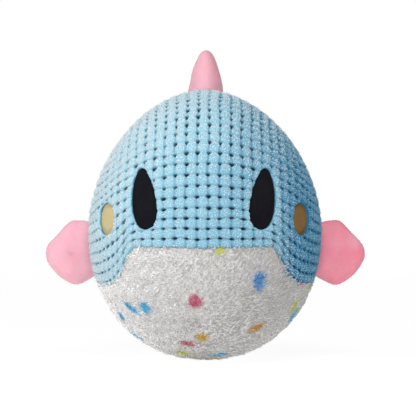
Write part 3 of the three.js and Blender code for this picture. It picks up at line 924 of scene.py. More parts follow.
def growBluePile(name, inside, back, seed):
    rng = np.random.default_rng(seed)
    directions = scatter(bluePile["spacing"], seed)
    points, normals = onEgg(directions)
    gap = inside(points)
    height, plain, hole, low = waffleRelief(points, back)
    clumps = wander(points, bluePile["clump"], 22)
    overSeam = bluePile["overSeam"] * np.clip(0.2 + clumps, 0, 1) * (np.abs(seamGap(points)) < 0.002)
    ragged = bluePile["ragged"] * rng.uniform(-0.5, 1, len(gap))
    keep = (gap > ragged - overSeam) & (hole < bluePile["bare"])
    points, normals, height, plain = points[keep], normals[keep], height[keep], plain[keep]
    low, clumps, byHole = low[keep], clumps[keep], np.maximum(hole[keep], 1e-9) ** 0.25
    byPatch = 0 * low if back else smoothStep(0.0022, 0.0004, outsidePatches(asSeen(points)))
    east, north = tangentsOf(normals)
    uphill = 0
    for way in (east, north):
        slope = waffleRelief(points + bluePile["probe"] * way, back)[1] - plain
        uphill = uphill + np.clip(slope / bluePile["probe"], -1.5, 1.5)[:, None] * way
    count = len(points)
    axes = normals - (bluePile["slope"] - byHole)[:, None] * uphill
    loose = bluePile["loose"] * (1 - 0.2 * byPatch) * (1 - 0.3 * low)
    axes = axes - bluePile["comb"] * east + loose[:, None] * rng.normal(size=(count, 3))
    tuft = [wander(points, bluePile["tuft"], seed + number) for number in (100, 200, 300)]
    axes = axes + bluePile["gather"] * (tuft[0][:, None] * east + tuft[1][:, None] * north)
    atSeam = smoothStep(0.0018, 0.0, seamGap(points)) * np.clip(0.4 + clumps, 0, 1)
    axes = unit(axes - bluePile["overhang"] * atSeam[:, None] * north)
    roots = points + normals * (height - bluePile["rooted"])[:, None]
    widths = bluePile["width"] * rng.uniform(0.7, 1.25, count) * (1 + 0.25 * atSeam)
    lengths = bluePile["length"] * rng.uniform(0.65, 1.3, count)
    lengths = lengths * (1 + atSeam * rng.uniform(0.4, 1, count)) * (1 + 0.3 * np.clip(tuft[2], -1, 1))
    lengths = lengths * (1 - 0.35 * low) * (1 - 0.25 * byPatch) * (1 - byHole)
    obj, up = plantPile(name + "Pile", hairShape, roots, axes, widths, lengths, rng)
    # the hairs' tone: their own tones and patches, with painted shade by the holes, in the grooves and down
    # the sides of squares, stronger where the body is shaded, and painted light and shade by facing
    shade = smoothStep(-0.3, 0.5, normals[:, 0]) * smoothStep(1.05, 0.8, normals[:, 0])
    rough = 1 - 0.75 * smoothStep(0.55, 0.85, normals[:, 0])
    own = rough * (rng.uniform(-tones["hair"], tones["hair"], count) + (0.14 + 0.26 * shade) * tuft[2])
    own += tones["patches"] * wander(points, 0.012, 21) - tones["hole"] * byHole
    own += (tones["groove"] + 0.25 * shade) * (0.28 - low)
    own += 0.035 - tones["squareSideShade"] * np.clip((waffle["top"] - plain) / 0.0016, 0, 1) ** 1.5
    own = np.repeat(own + lightAndShadeAt(points, unit(normals - uphill)), len(hairShape[0]))
    # deeper at the roots, as painted shade deep in the pile
    tone = tones["root"] + (tones["tip"] - tones["root"]) * up + own
    setNumbers(obj, "tone", np.clip(tone, 0, 1))
    setNumbers(obj, "hole", 0.0)
    return obj


def waffleIn(panel):
    # which points belong to a blue panel, as a distance inside its outline
    def inside(points):
        gaps = [seamGap(points)]
        if panel == "face":
            gaps += [body["crossSeam"] - points[:, 1], outsidePatches(asSeen(points))]
        else:
            gaps += [points[:, 1] - body["crossSeam"]]
            gaps += [-points[:, 0] if panel == "left" else points[:, 0]]
        return np.minimum.reduce(gaps)

    return inside


def wafflePanel(name, blank, panel, seed):
    inside = waffleIn(panel)
    back = panel != "face"
    obj = trimPanel(blank, name, inside, blueCuts)
    turned = turnEdgeIn(obj)
    points, normals = onEgg(pointsOf(obj))
    height, _, hole, _ = waffleRelief(points, back)
    height = np.where(turned, -body["hem"], height)
    movePoints(obj, points + normals * height[:, None])
    # the ground under the pile is painted darker as shade, with painted light and shade by facing; the
    # turned-in hem is painted dark as shade, and so are the holes
    tone = tones["ground"] + 0.5 * lightAndShadeAt(points, normals)
    setNumbers(obj, "tone", np.where(turned, tones["turnedIn"], tone))
    setNumbers(obj, "hole", np.where(turned, 0.6, np.clip(2.4 * hole, 0, 0.97)))
    obj.data.materials.clear()
    obj.data.materials.append(waffleMaterial)
    pile = growBluePile(name, inside, back, seed)
    pile.data.materials.append(waffleMaterial)
    joinInto(obj, pile)
    bpy.ops.object.shade_smooth()
    mapFrom(obj, "y" if back else "-y", math.radians(115))
    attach(obj, "body")
    return obj


blueCuts = (14, 13)
blueBlank = ballBlank("blueBlank", blueCuts)
facePiece = wafflePanel("face_cover", blueBlank, "face", 31)
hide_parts("face_panel")
print("face cover made:", len(facePiece.data.polygons), "faces")
backLeft = wafflePanel("back_cover_left", blueBlank, "left", 32)
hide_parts("back_panel_left")
backRight = wafflePanel("back_cover_right", blueBlank, "right", 33)
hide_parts("back_panel_right")
bpy.data.objects.remove(blueBlank)
print("back covers made")

# Belly: white fleece with a few dyed flecks. A fleck has its azimuth from the middle of the face,
# its height, its half width and half height, its tilt in degrees and its dye.

dyes = {
    "blue": (0.0, 0.17, 0.45),
    "sky": (0.0, 0.36, 0.62),
    "rose": (0.43, 0.05, 0.12),
    "blush": (0.75, 0.35, 0.42),
    "orange": (0.44, 0.20, 0.0),
    "gold": (0.48, 0.30, 0.0),
    "lime": (0.50, 0.54, 0.04),
}
flecks = [
    (7.6, 0.0728, 0.0032, 0.0034, 0, "lime"),
    (27.9, 0.0529, 0.0046, 0.0066, 15, "blue"),
    (-4.2, 0.0413, 0.0045, 0.0050, 0, "rose"),
    (-44.4, 0.0357, 0.0027, 0.0064, 50, "sky"),
    (-34.0, 0.0366, 0.0042, 0.0046, 30, "sky"),
    (-61.0, 0.0292, 0.0030, 0.0042, -20, "sky"),
    (-62.9, 0.0158, 0.0050, 0.0032, -25, "sky"),
    (34.8, 0.0235, 0.0060, 0.0034, 25, "orange"),
    (-1.6, 0.0184, 0.0042, 0.0038, 0, "gold"),
    (-12.9, 0.0138, 0.0050, 0.0034, -12, "rose"),
    (-24.7, 0.0068, 0.0062, 0.0036, -10, "lime"),
    (15.3, 0.0062, 0.0050, 0.0034, 8, "sky"),
    (17.0, 0.0018, 0.0050, 0.0026, 0, "lime"),
    (61.5, 0.0350, 0.0038, 0.0058, 20, "lime"),
    (69.2, 0.0290, 0.0050, 0.0058, 20, "sky"),
    (60.4, 0.0488, 0.0040, 0.0018, 0, "blush"),
    (75.3, 0.0474, 0.0050, 0.0026, 0, "lime"),
]
restOfFlecks = {"count": 24, "from": 102, "low": 0.008, "high": 0.042, "seed": 8}
belly = {
    "ground": -0.0010,  # height over the round, under the fleece's tips
    "lumps": 0.0002,
    "dart": 0.0004,  # the stitched line up the middle, in front and behind
    "dartWidth": 0.0009,
    "pinch": 0.0006,  # how deep the cloth is drawn in at the seam
    "pinchWidth": 0.002,
    "combed": 48,  # degrees from straight across to straight up
    # painted shade on the ground under the locks
    "tone": 0.3,
    "clear": 0.0012,  # how far the ground stays over the floor
    "tipsClear": 0.0003,
}
whitePile = {
    "spacing": 0.00125,
    "width": 0.00123,
    "length": 0.0026,
    "rooted": 0.0004,
    "edge": 0.0004,  # how far inside the seam the fleece ends
    "edgeWaves": 0.0009,
    "ragged": 0.0008,
    "comb": 2.0,
    "loose": 0.22,
    "flattest": 0.3,  # no lock lies flatter than this
    "clump": 0.0028,  # how far apart the clumps lie that stand up at the seam
    "standing": 0.9,
    # painted shade: the locks are darker at their roots
    "root": 0.1,
    "tip": 0.95,
    "own": 0.34,  # how much single locks differ
    # painted light and shade along the strokes' ribs
    "strokes": 0.32,
    "level": 0.61,
    "right": 0.44,  # painted shade: deeper to the right
    "ahead": 1.14,  # and painted shade where it faces ahead
}
fleeceCuts = (11, 8)


def moreFlecks():
    rng = np.random.default_rng(restOfFlecks["seed"])
    names = ["sky", "rose", "lime", "orange", "gold", "blue"]
    found = []
    span = 360 - 2 * restOfFlecks["from"]
    for number in range(restOfFlecks["count"]):
        turn = restOfFlecks["from"] + span * (number + 0.5) / restOfFlecks["count"]
        found.append(
            (
                turn + rng.uniform(-5, 5),
                rng.uniform(restOfFlecks["low"], restOfFlecks["high"]),
                rng.uniform(0.003, 0.005),
                rng.uniform(0.003, 0.0055),
                rng.uniform(-40, 40),
                names[rng.integers(len(names))],
            )
        )
    return found


def dyeAt(points, seed):
    # colour and strength of the dye at points of the belly
    points = asSeen(points)
    colours = np.zeros((len(points), 4))
    rng = np.random.default_rng(seed)
    ragged = 0.08 * wander(points, 0.006, 41) + rng.normal(size=len(points)) * 0.16
    for azimuth, height, wide, tall, tilt, dye in flecks + moreFlecks():
        turn = math.radians(azimuth)
        share = 1 - (1 - height / body["widestHeight"]) ** body["bellyPower"]
        ring = max(share, 0.02) ** (1 / body["bellyPower"])
        centre = np.array(
            [
                math.sin(turn) * ring * body["width"] / 2,
                -math.cos(turn) * ring * body["depth"] / 2,
                height,
            ]
        )
        outward = unit(centre - bodyMiddle)
        east = np.array([math.cos(turn), math.sin(turn), 0.0])
        north = np.cross(outward, east)
        away = points - centre
        lean = math.radians(tilt)
        a = (away @ east) * math.cos(lean) + (away @ north) * math.sin(lean)
        h = -(away @ east) * math.sin(lean) + (away @ north) * math.cos(lean)
        ringShare = np.hypot(a / wide, h / tall) + ragged
        strength = 1 - smoothStep(0.55, 1.25, ringShare)
        strength = np.where(np.linalg.norm(away, axis=1) < 3 * max(wide, tall), strength, 0)
        stronger = strength > colours[:, 3]
        colours[stronger, :3] = dyes[dye]
        colours[:, 3] = np.maximum(colours[:, 3], strength)
    colours[:, 3] *= rng.uniform(0.75, 1.2, len(points))
    return np.clip(colours, 0, 1)


def strokes(points):
    # strokes in the fleece: they lie one way at the left, swirl in the middle, fade to the right
    x, z = points[:, 0], points[:, 2]
    along = 0.66 * x + 0.75 * z
    beside = 0.66 * z - 0.75 * x + 0.0007 * wander(points, 0.011, 52)
    longer = np.stack([0.3 * along, 0.3 * points[:, 1], beside], 1)
    swirl = smoothStep(-0.040, 0.0, x)
    stroke = (1 - swirl) * wander(longer, 0.0029, 53) + swirl * wander(points, 0.0032, 54)
    return stroke * (1 - 0.75 * smoothStep(0.0, 0.045, x))


def bellyRelief(points):
    ahead = points[:, 1] < 0
    middle = np.exp(-((points[:, 0] / belly["dartWidth"]) ** 2))
    front = smoothStep(0.030, 0.042, points[:, 2]) * ahead
    rear = smoothStep(0.012, 0.022, points[:, 2]) * ~ahead
    dart = belly["dart"] * middle * (front + rear)
    pinch = belly["pinch"] * np.exp(-((seamGap(points) / belly["pinchWidth"]) ** 2))
    lumps = belly["lumps"] * (wander(points, 0.011, 43) + np.clip(strokes(points), -1, 1))
    return belly["ground"] + lumps - dart - pinch


def insideBelly(points):
    return -seamGap(points)


def combWay(points, normals):
    east, north = tangentsOf(normals)
    aside = points[:, 0] / (body["width"] / 2)
    turn = math.radians(belly["combed"]) + 0.35 * aside
    turn = turn + 0.35 * wander(points, 0.045, 44) + 0.2 * wander(points, 0.014, 45)
    return east * np.cos(turn)[:, None] + north * np.sin(turn)[:, None]


def bellyCover():
    blank = ballBlank("fleeceBlank", fleeceCuts)
    obj = trimPanel(blank, "belly_cover", insideBelly, fleeceCuts)
    bpy.data.objects.remove(blank)
    turned = turnEdgeIn(obj)
    points, normals = onEgg(pointsOf(obj))
    height = np.where(turned, -body["hem"], bellyRelief(points))
    placed = points + normals * height[:, None]
    placed[:, 2] = np.maximum(placed[:, 2], belly["clear"])
    movePoints(obj, placed)
    setNumbers(obj, "tone", belly["tone"])
    setColours(obj, "dye", dyeAt(points, 46))
    obj.data.materials.clear()
    obj.data.materials.append(fleeceMaterial)

    rng = np.random.default_rng(47)
    points, normals = onEgg(scatter(whitePile["spacing"], 48))
    edge = whitePile["edge"] + whitePile["edgeWaves"] * wander(points, 0.0035, 50)
    keep = insideBelly(points) > edge - whitePile["ragged"] * rng.uniform(0, 1, len(points))
    points, normals = points[keep], normals[keep]
    count = len(points)
    axes = normals + whitePile["comb"] * combWay(points, normals)
    axes = unit(axes + whitePile["loose"] * rng.normal(size=(count, 3)))
    clumps = np.clip(0.4 + wander(points, whitePile["clump"], 55), 0, 1)
    atSeam = smoothStep(0.0022, 0.0004, insideBelly(points)) * clumps
    axes = axes + whitePile["standing"] * atSeam[:, None] * normals
    lifted = (axes * normals).sum(1)
    axes = unit(axes + np.maximum(whitePile["flattest"] - lifted, 0)[:, None] * normals)
    roots = points + normals * (bellyRelief(points) - whitePile["rooted"])[:, None]
    widths = whitePile["width"] * rng.uniform(0.7, 1.3, count)
    lengths = whitePile["length"] * rng.uniform(0.6, 1.2, count)
    lengths = lengths * (1 + 0.25 * np.clip(strokes(points), -1, 1)) * (1 + 0.35 * atSeam)
    pile, up = plantPile("fleecePile", fleeceShape, roots, axes, widths, lengths, rng)
    placed = pointsOf(pile)
    placed[:, 2] = np.maximum(placed[:, 2], belly["tipsClear"])
    movePoints(pile, placed)
    # the locks' tone: their own tones, with painted light and shade along the strokes, painted shade to the
    # right and where they face ahead, and darker roots as painted shade between the locks
    even = smoothStep(-0.03, 0.05, points[:, 0])
    own = rng.uniform(-whitePile["own"], whitePile["own"], count) * (1 - 0.6 * even)
    own += whitePile["strokes"] * strokes(points)
    ahead = np.maximum(-normals[:, 1] / np.hypot(normals[:, 0], normals[:, 1] + 1e-9), 0.4)
    own += whitePile["level"] - whitePile["right"] * normals[:, 0] - whitePile["ahead"] * ahead
    own, even = np.repeat(own, len(fleeceShape[0])), np.repeat(even, len(fleeceShape[0]))
    tone = whitePile["root"] + (whitePile["tip"] - whitePile["root"]) * up + own
    tone += even * (0.30 - 0.6 * up)  # roots and tips are more alike at the right, with less painted shade between the locks
    setNumbers(pile, "tone", np.clip(tone, 0, 1))
    setColours(pile, "dye", np.repeat(dyeAt(points, 49), len(fleeceShape[0]), axis=0))
    pile.data.materials.append(fleeceMaterial)
    joinInto(obj, pile)
    bpy.ops.object.shade_smooth()
    mapFrom(obj, "-z", math.radians(115))
    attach(obj, "body")
    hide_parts("belly_panel")
    return obj


bellyPiece = bellyCover()
print("belly cover made:", len(bellyPiece.data.polygons), "faces")

# Eyes and cheeks: felt under the cut-outs


def feltPatch(name, patch, side, material, node):
    bpy.ops.mesh.primitive_grid_add(x_subdivisions=70, y_subdivisions=110, size=2)
    obj = newPiece(name)
    flat = pointsOf(obj)
    a, h = flat[:, 0], flat[:, 1]
    disc = np.stack([a * np.sqrt(1 - h**2 / 2), h * np.sqrt(1 - a**2 / 2)], 1)
    up = disc[:, 1] * (patch["height"] / 2 + felt["border"])
    swell = 1 - patch["swell"] * np.clip(up / (patch["height"] / 2), -1, 1)
    across = disc[:, 0] * (patch["width"] / 2 * swell + felt["border"])
    across += side * patch["bend"] * patch["width"] / 2 * np.clip(up / (patch["height"] / 2), 0, 1.2) ** 2
    tilt = math.radians(side * patch["tilt"])
    azimuth = math.radians(side * patch["azimuth"])
    x = across * math.cos(tilt) + up * math.sin(tilt)
    z = patch["centre"] - across * math.sin(tilt) + up * math.cos(tilt)
    edge = smoothStep(0.45, 0.75, np.hypot(disc[:, 0], disc[:, 1]))
    sink = felt["recess"] + felt["edgeRecess"] * edge - felt["dent"] * wander(flat, 0.09, 51)
    halfWidth, halfDepth = body["width"] / 2 - sink, body["depth"] / 2 - sink
    rise = z - body["widestHeight"]
    full = np.where(rise > 0, body["crownRise"], body["bellyDrop"]) - sink
    power = np.where(rise > 0, body["crownPower"], body["bellyPower"])
    share = (1 - np.clip(np.abs(rise) / full, 0, 1) ** power) ** (2 / power)
    # how far out along the patch's facing the egg lies
    first = (math.sin(azimuth) / halfWidth) ** 2 + (math.cos(azimuth) / halfDepth) ** 2
    second = x * math.cos(azimuth) * math.sin(azimuth) * (1 / halfWidth**2 - 1 / halfDepth**2)
    third = (x * math.cos(azimuth) / halfWidth) ** 2 + (x * math.sin(azimuth) / halfDepth) ** 2 - share
    out = (-second + np.sqrt(np.maximum(second**2 - first * third, 0))) / first
    placed = np.stack(
        [
            x * math.cos(azimuth) + out * math.sin(azimuth),
            x * math.sin(azimuth) - out * math.cos(azimuth),
            z,
        ],
        1,
    )
    movePoints(obj, placed)
    makeActive(obj)
    solid = obj.modifiers.new("feltThickness", "SOLIDIFY")
    solid.thickness = felt["thickness"]
    solid.offset = -1
    bpy.ops.object.modifier_apply(modifier=solid.name)
    bpy.ops.object.shade_smooth()
    # painted light: the left patch's nap paler and the right one's deeper
    setNumbers(obj, "paintedLight", -side * patch["napLight"])
    obj.data.materials.append(material)
    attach(obj, "body")
    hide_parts(node)


for sideName, side in (("left", -1), ("right", 1)):
    feltPatch("eye_felt_" + sideName, eye, side, blackMaterial, "eye_" + sideName)
    feltPatch("cheek_felt_" + sideName, cheek, side, tanMaterial, "cheek_" + sideName)
print("eyes and cheeks made")

# Fins and tail: each is a ball pressed to its outline. Outlines are shares of reach and span.

sideFin = {
    "reach": 0.0285,
    "span": 0.0425,
    "puff": 0.014,
    "outline": [
        (-0.25, -0.30), (0, -0.4), (0.15, -0.45), (0.3, -0.485), (0.44, -0.495), (0.6, -0.455),
        (0.76, -0.365), (0.89, -0.265), (0.985, -0.165), (1.035, -0.08), (1.045, 0), (1.005, 0.1),
        (0.92, 0.18), (0.78, 0.265), (0.63, 0.35), (0.47, 0.44), (0.33, 0.485), (0.16, 0.475),
        (0, 0.44), (-0.25, 0.34),
    ],
    "middle": (0.45, -0.01),
}
tailFin = {
    "reach": 0.038,
    "span": 0.062,
    "puff": 0.014,
    "outline": [
        (-0.2, -0.17), (0, -0.19), (0.18, -0.18), (0.34, -0.22), (0.48, -0.34), (0.6, -0.46),
        (0.72, -0.5), (0.84, -0.47), (0.95, -0.38), (1, -0.25), (0.97, -0.12), (0.91, 0),
        (0.97, 0.12), (1, 0.25), (0.95, 0.38), (0.84, 0.47), (0.72, 0.5), (0.6, 0.46),
        (0.48, 0.34), (0.34, 0.22), (0.18, 0.18), (0, 0.19), (-0.2, 0.17),
    ],
    "middle": (0.6, 0),
}
pressed = {
    "facePower": 1.6,  # more is a flatter face
    "edgePower": 3.4,  # and a sharper edge
    "rootFuller": 0.22,
    "lumps": 0.03,
}
dorsalFin = {
    "height": 0.0345,
    "length": 0.036,
    "thickness": 0.0232,
    "lean": 0.0056,
    "root": 0.006,
    "sidePower": 1.6,  # how its sides draw in towards the tip
    "endPower": 1.3,  # and how its front and rear do
    "risePower": 1.15,
    "drawnIn": 25,  # by the seam's furrow, in shares of its length for each metre of depth
}
finSeam = {"depth": 0.00035, "width": 0.0009, "stitch": 0.0028}
nap = {
    "grain": 0.00006,
    "lumps": 0.0003,
    "lumpSize": 0.013,
    "turned": 0.12,  # painted light: paler where it faces left
    "aside": 0.2,  # and on the left side
    "top": 0.24,  # and at the top fin's tip
    # and painted light by the body, against the shade it casts on the fins
    "byBody": 0.04,
    "rimHighlight": 0.42,  # and a painted highlight at the right fin's rim
}


def jointNamed(name):
    return [joint for joint in frame["joints"] if joint["name"] == name][0]


def finAxes(joint, outwardGuess):
    along = unit(np.array(joint["axis"], float))
    guess = np.array(outwardGuess, float)
    outward = unit(guess - along * (guess @ along))
    return np.array(joint["pos_m"], float), outward, np.cross(along, outward), along


def closedLine(pairs, count):
    # a closed smooth line through points
    ends = np.array(pairs, float)
    t = np.arange(count) / count * len(ends)
    i = t.astype(int)
    f = (t - i)[:, None]
    p0, p1, p2, p3 = (ends[(i + k) % len(ends)] for k in (-1, 0, 1, 2))
    return 0.5 * (
        2 * p1 + (p2 - p0) * f + (2 * p0 - 5 * p1 + 4 * p2 - p3) * f**2 + (3 * p1 - p0 - 3 * p2 + p3) * f**3
    )


def seamRidge(fromSeam, along):
    # sewn edge: a narrow furrow beside small stitches
    stitches = 0.6 + 0.4 * np.sin(along * 2 * math.pi / finSeam["stitch"])
    return finSeam["depth"] * np.exp(-((fromSeam / finSeam["width"]) ** 2)) * stitches


def pressedFin(name, fin, place):
    bpy.ops.mesh.primitive_uv_sphere_add(segments=144, ring_count=72, radius=1)
    obj = newPiece(name)
    ball = unit(pointsOf(obj))
    size = np.array([fin["reach"], fin["span"]])
    line = closedLine(fin["outline"], 720) * size
    middle = np.array(fin["middle"]) * size
    turn = np.arctan2(line[:, 1] - middle[1], line[:, 0] - middle[0])
    order = np.argsort(turn)
    reach = np.linalg.norm(line - middle, axis=1)[order]
    turn = turn[order]
    angle = np.arctan2(ball[:, 1], ball[:, 0])
    edge = np.interp(angle, turn, reach, period=2 * math.pi)
    spread = np.hypot(ball[:, 0], ball[:, 1])
    fuller = spread * (1 - pressed["rootFuller"] * smoothStep(0.3, 0.95, -np.cos(angle)))
    puff = np.maximum(1 - fuller ** pressed["edgePower"], 0) ** (1 / pressed["facePower"])
    lift = np.sign(ball[:, 2]) * fin["puff"] / 2 * puff
    lift = lift * (1 + pressed["lumps"] * wander(ball, 0.9, 61))
    fromSeam = (1 - spread) * edge + np.abs(lift)
    inward = seamRidge(fromSeam, angle * edge)
    x = middle[0] + np.cos(angle) * (edge * spread - inward)
    z = middle[1] + np.sin(angle) * (edge * spread - inward)
    origin, outward, across, along = place
    movePoints(obj, origin + x[:, None] * outward + lift[:, None] * across + z[:, None] * along)
    return obj


def dorsalForm(name, place):
    bpy.ops.mesh.primitive_uv_sphere_add(segments=128, ring_count=96, radius=1)
    obj = newPiece(name)
    ball = unit(pointsOf(obj))
    angle = np.arctan2(ball[:, 1], ball[:, 0])
    ring = np.hypot(ball[:, 0], ball[:, 1])
    share = np.clip(ball[:, 2], 0, 1) ** dorsalFin["risePower"]
    below = np.clip(-ball[:, 2], 0, 1)
    fade = np.where(ball[:, 2] > 0, 1.0, ring)
    halfWidth = dorsalFin["thickness"] / 2 * np.sqrt(1 - share ** dorsalFin["sidePower"]) * fade
    halfLength = dorsalFin["length"] / 2 * np.sqrt(1 - share ** dorsalFin["endPower"]) * fade
    out = share * dorsalFin["height"] - below * dorsalFin["root"]
    y = halfWidth * np.cos(angle)
    inward = 1 - dorsalFin["drawnIn"] * seamRidge(np.abs(y), out)
    z = dorsalFin["lean"] * share + halfLength * np.sin(angle) * inward
    origin, outward, across, along = place
    movePoints(obj, origin + out[:, None] * outward + y[:, None] * across + z[:, None] * along)
    return obj


def napFuzz(obj, seed):
    # a short even nap, as small lifts of the skin, with painted light: paler on the left, at the top fin's
    # tip and by the body, and a painted highlight at the right fin's rim
    makeActive(obj)
    bpy.ops.object.mode_set(mode="EDIT")
    bpy.ops.mesh.select_all(action="SELECT")
    bpy.ops.mesh.normals_make_consistent(inside=False)
    bpy.ops.object.mode_set(mode="OBJECT")
    normals = normalsOf(obj)
    rng = np.random.default_rng(seed)
    lift = nap["grain"] * rng.normal(size=len(obj.data.vertices))
    lift += nap["lumps"] * wander(pointsOf(obj), nap["lumpSize"], seed)
    points = pointsOf(obj) + normals * lift[:, None]
    movePoints(obj, points)
    bpy.ops.object.shade_smooth()
    aside, height = points[:, 0] / body["width"] * 2, points[:, 2]
    byBody = smoothStep(1.22, 1.0, np.abs(aside)) * smoothStep(0.5, 0.8, np.abs(aside))
    # painted light: paler where it faces left and on the left side, at the top fin's tip and by the body,
    # and a painted highlight at the right fin's rim
    paintedLight = -nap["turned"] * normals[:, 0] - nap["aside"] * np.clip(aside, -1, 1)
    paintedLight += nap["top"] * smoothStep(0.14, 0.17, height) + nap["byBody"] * byBody
    paintedLight += nap["rimHighlight"] * smoothStep(1.2, 1.3, aside) * smoothStep(0.066, 0.078, height)
    setNumbers(obj, "paintedLight", paintedLight)


def dressFin(obj, nodes, seed):
    napFuzz(obj, seed)
    obj.data.materials.clear()
    obj.data.materials.append(pinkMaterial)
    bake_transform(obj)
    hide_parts(*nodes)


for sideName, side in (("left", -1), ("right", 1)):
    place = finAxes(jointNamed(sideName + "_fin_flap"), (side, 0, 0))
    fin = pressedFin(sideName + "_fin", sideFin, place)
    nodes = [sideName + "_fin_front_skin", sideName + "_fin_rear_skin"]
    dressFin(fin, nodes, 70 + side)
dorsalPlace = finAxes(jointNamed("dorsal_fin_flop"), (0, 0, 1))
dorsalPiece = dorsalForm("top_fin", dorsalPlace)
dressFin(dorsalPiece, ["dorsal_fin_left_skin", "dorsal_fin_right_skin"], 73)
tailPlace = finAxes(jointNamed("tail_wag"), (0, 1, 0))
tailPiece = pressedFin("tail_flukes", tailFin, tailPlace)
dressFin(tailPiece, ["tail_upper_skin", "tail_lower_skin"], 74)
print("fins and tail made")

# Filling: each wad is a lumpy remesh of its plain solid


def copyOfNode(name, node):
    obj = copyPiece(frame["nodes"][node], name)
    obj.parent = None
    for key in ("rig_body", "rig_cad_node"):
        del obj[key]
    obj.data.materials.clear()
    return obj


def fluffedWad(name, node, bodyName, voxel, seed):
    obj = copyOfNode(name, node)
    makeActive(obj)
    bpy.ops.object.mode_set(mode="EDIT")
    bpy.ops.mesh.select_all(action="SELECT")
    bpy.ops.mesh.remove_doubles(threshold=0.00001)
    bpy.ops.object.mode_set(mode="OBJECT")
    remesh = obj.modifiers.new("evenSquares", "REMESH")
    remesh.mode = "VOXEL"
    remesh.voxel_size = voxel
    bpy.ops.object.modifier_apply(modifier=remesh.name)
    relax = obj.modifiers.new("softEdges", "SMOOTH")
    relax.factor = 0.5
    relax.iterations = 6
    bpy.ops.object.modifier_apply(modifier=relax.name)
    points = pointsOf(obj)
    sink = voxel * (0.35 + 0.15 * wander(points, 6 * voxel, seed))
    movePoints(obj, points - normalsOf(obj) * sink[:, None])
    bpy.ops.object.shade_smooth()
    obj.data.materials.append(fibreMaterial)
    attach(obj, bodyName)
    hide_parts(node)


bodySquare, finSquare = 0.0022, 0.0011
fluffedWad("front_wad", "body_filling_front", "body", bodySquare, 81)
fluffedWad("rear_wad", "body_filling_rear", "body", bodySquare, 82)
fluffedWad("left_fin_wad", "left_fin_filling", "left_fin", finSquare, 83)
fluffedWad("right_fin_wad", "right_fin_filling", "right_fin", finSquare, 84)
fluffedWad("top_fin_wad", "dorsal_fin_filling", "dorsal_fin", finSquare, 85)
fluffedWad("tail_wad", "tail_filling", "tail", finSquare, 86)

# Squeaker: its folds are a copy of the bellows in plastic, and the rest keeps its shape with new materials

folds = copyOfNode("squeaker_folds", "squeaker_bellows")
folds.data.materials.append(plasticMaterial)
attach(folds, "body")
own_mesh(folds)
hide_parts("squeaker_bellows")
for node in ("squeaker_base", "squeaker_crown", "squeaker_plug", "squeaker_reed"):
    material = filmMaterial if node == "squeaker_reed" else plasticMaterial
    frame["nodes"][node].data.materials.clear()
    frame["nodes"][node].data.materials.append(material)
print("filling and squeaker made")

# Camera, lamps and floor

view = {
    "distance": 1.200,
    "azimuth": 0.95,
    "elevation": 1.5,
    "imageWidth": 0.2679,  # what the frame takes in at the body's middle
    "aim": (0.00193, 0.0971),  # across and up from the floor, at the frame's middle
    "sensor": 36.0,
}
lamps = {
    "key": {"azimuth": -58, "elevation": 28, "size": 0.7, "power": 10.4},
    "top": {"azimuth": 8, "elevation": 55, "size": 0.7, "power": 11.5},
    "front": {"azimuth": 0, "elevation": 8, "size": 0.7, "power": 6.2},
    "fill": {"azimuth": 36, "elevation": 14, "size": 0.7, "power": 3.0},
}
lampDistance = 1.45
worldLight = 0.02
ground = {
    "size": 12,
    "white": 0.8,
    "glow": 0.52,  # the floor is lit from under, as on a light table
    "near": 0.15,  # up to here some of the shadow shows
    "far": 1.2,  # and from here on the floor is pure white
    "nearWhite": 0.88,
}


def aimAt(obj, target):
    away = np.array(obj.location) - np.array(target)
    back = unit(away)
    right = unit(np.cross((0.0, 0.0, 1.0), back))
    up = np.cross(back, right)
    obj.rotation_euler = Matrix((right, up, back)).transposed().to_euler()


def towards(azimuth, elevation):
    # from the middle of the toy, with the azimuth counted from straight ahead towards +x
    a, e = math.radians(azimuth), math.radians(elevation)
    return np.array([math.sin(a) * math.cos(e), -math.cos(a) * math.cos(e), math.sin(e)])


def makeCamera():
    lens = bpy.data.cameras.new("photoCamera")
    lens.sensor_width = view["sensor"]
    lens.lens = view["sensor"] * view["distance"] / view["imageWidth"]
    lens.clip_start, lens.clip_end = 0.05, 20
    camera = bpy.data.objects.new("photoCamera", lens)
    camera.location = bodyMiddle + view["distance"] * towards(view["azimuth"], view["elevation"])
    aimAt(camera, (view["aim"][0], 0, view["aim"][1]))
    bpy.context.collection.objects.link(camera)
    bpy.context.scene.camera = camera


def makeLamp(name, lamp):
    light = bpy.data.lights.new(name, "AREA")
    light.shape = "DISK"
    light.size = lamp["size"]
    light.energy = lamp["power"]
    obj = bpy.data.objects.new(name, light)
    obj.location = bodyMiddle + lampDistance * towards(lamp["azimuth"], lamp["elevation"])
    aimAt(obj, bodyMiddle)
    obj.visible_camera = False
    bpy.context.collection.objects.link(obj)


def seenDirectly(nodes, links):
    # 1 for what the camera, mirrors and glass see, and 0 for the light that falls on things
    path = nodes.new("ShaderNodeLightPath")
    seen = mathOf(nodes, links, "MAXIMUM", path.outputs["Is Camera Ray"], path.outputs["Is Glossy Ray"])
    return mathOf(nodes, links, "MAXIMUM", seen, path.outputs["Is Transmission Ray"])


def mixShaders(nodes, links, share, plain, white):
    mix = nodes.new("ShaderNodeMixShader")
    for socket, value in zip(mix.inputs, (share, plain, white)):
        links.new(value, socket)
    return mix.outputs[0]


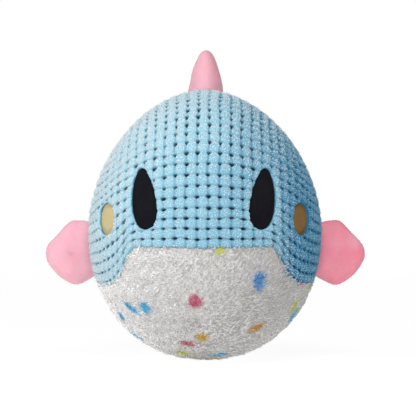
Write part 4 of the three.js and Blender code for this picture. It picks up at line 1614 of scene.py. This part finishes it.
def makeWorld():
    world = bpy.data.worlds.new("paleRoom")
    bpy.context.scene.world = world
    world.use_nodes = True
    nodes, links = world.node_tree.nodes, world.node_tree.links
    nodes["Background"].inputs["Strength"].default_value = worldLight
    nodes["Background"].inputs["Color"].default_value = (1, 1, 1, 1)
    plain = nodes["Background"].outputs[0]
    white = nodes.new("ShaderNodeBackground")
    white.inputs["Color"].default_value = (1, 1, 1, 1)
    shown = mixShaders(nodes, links, seenDirectly(nodes, links), plain, white.outputs[0])
    links.new(shown, nodes["World Output"].inputs[0])


def makeFloor():
    bpy.ops.mesh.primitive_plane_add(size=ground["size"], location=(0, 0, 0))
    floor = newPiece("floor")
    mat = bpy.data.materials.new("paleFloor")
    mat.use_nodes = True
    nodes, links = mat.node_tree.nodes, mat.node_tree.links
    shader = nodes["Principled BSDF"]
    shader.inputs["Base Color"].default_value = (ground["white"], ground["white"], ground["white"], 1)
    shader.inputs["Roughness"].default_value = 1
    shader.inputs["Specular IOR Level"].default_value = 0
    shader.inputs["Emission Color"].default_value = (1, 1, 1, 1)
    shader.inputs["Emission Strength"].default_value = ground["glow"]
    place = nodes.new("ShaderNodeTexCoord")
    away = nodes.new("ShaderNodeVectorMath")
    away.operation = "LENGTH"
    links.new(place.outputs["Object"], away.inputs[0])
    paler = nodes.new("ShaderNodeMapRange")
    paler.inputs["From Min"].default_value = ground["near"]
    paler.inputs["From Max"].default_value = ground["far"]
    paler.inputs["To Min"].default_value = ground["nearWhite"]
    paler.inputs["To Max"].default_value = 1.0
    links.new(away.outputs["Value"], paler.inputs["Value"])
    share = mathOf(nodes, links, "MULTIPLY", seenDirectly(nodes, links), paler.outputs["Result"])
    white = nodes.new("ShaderNodeEmission")
    shown = mixShaders(nodes, links, share, shader.outputs[0], white.outputs[0])
    links.new(shown, nodes["Material Output"].inputs[0])
    floor.data.materials.append(mat)


makeCamera()
for name, lamp in lamps.items():
    makeLamp(name, lamp)
makeWorld()
makeFloor()
bpy.context.scene.view_settings.view_transform = "Standard"
print("camera, lamps and floor set")
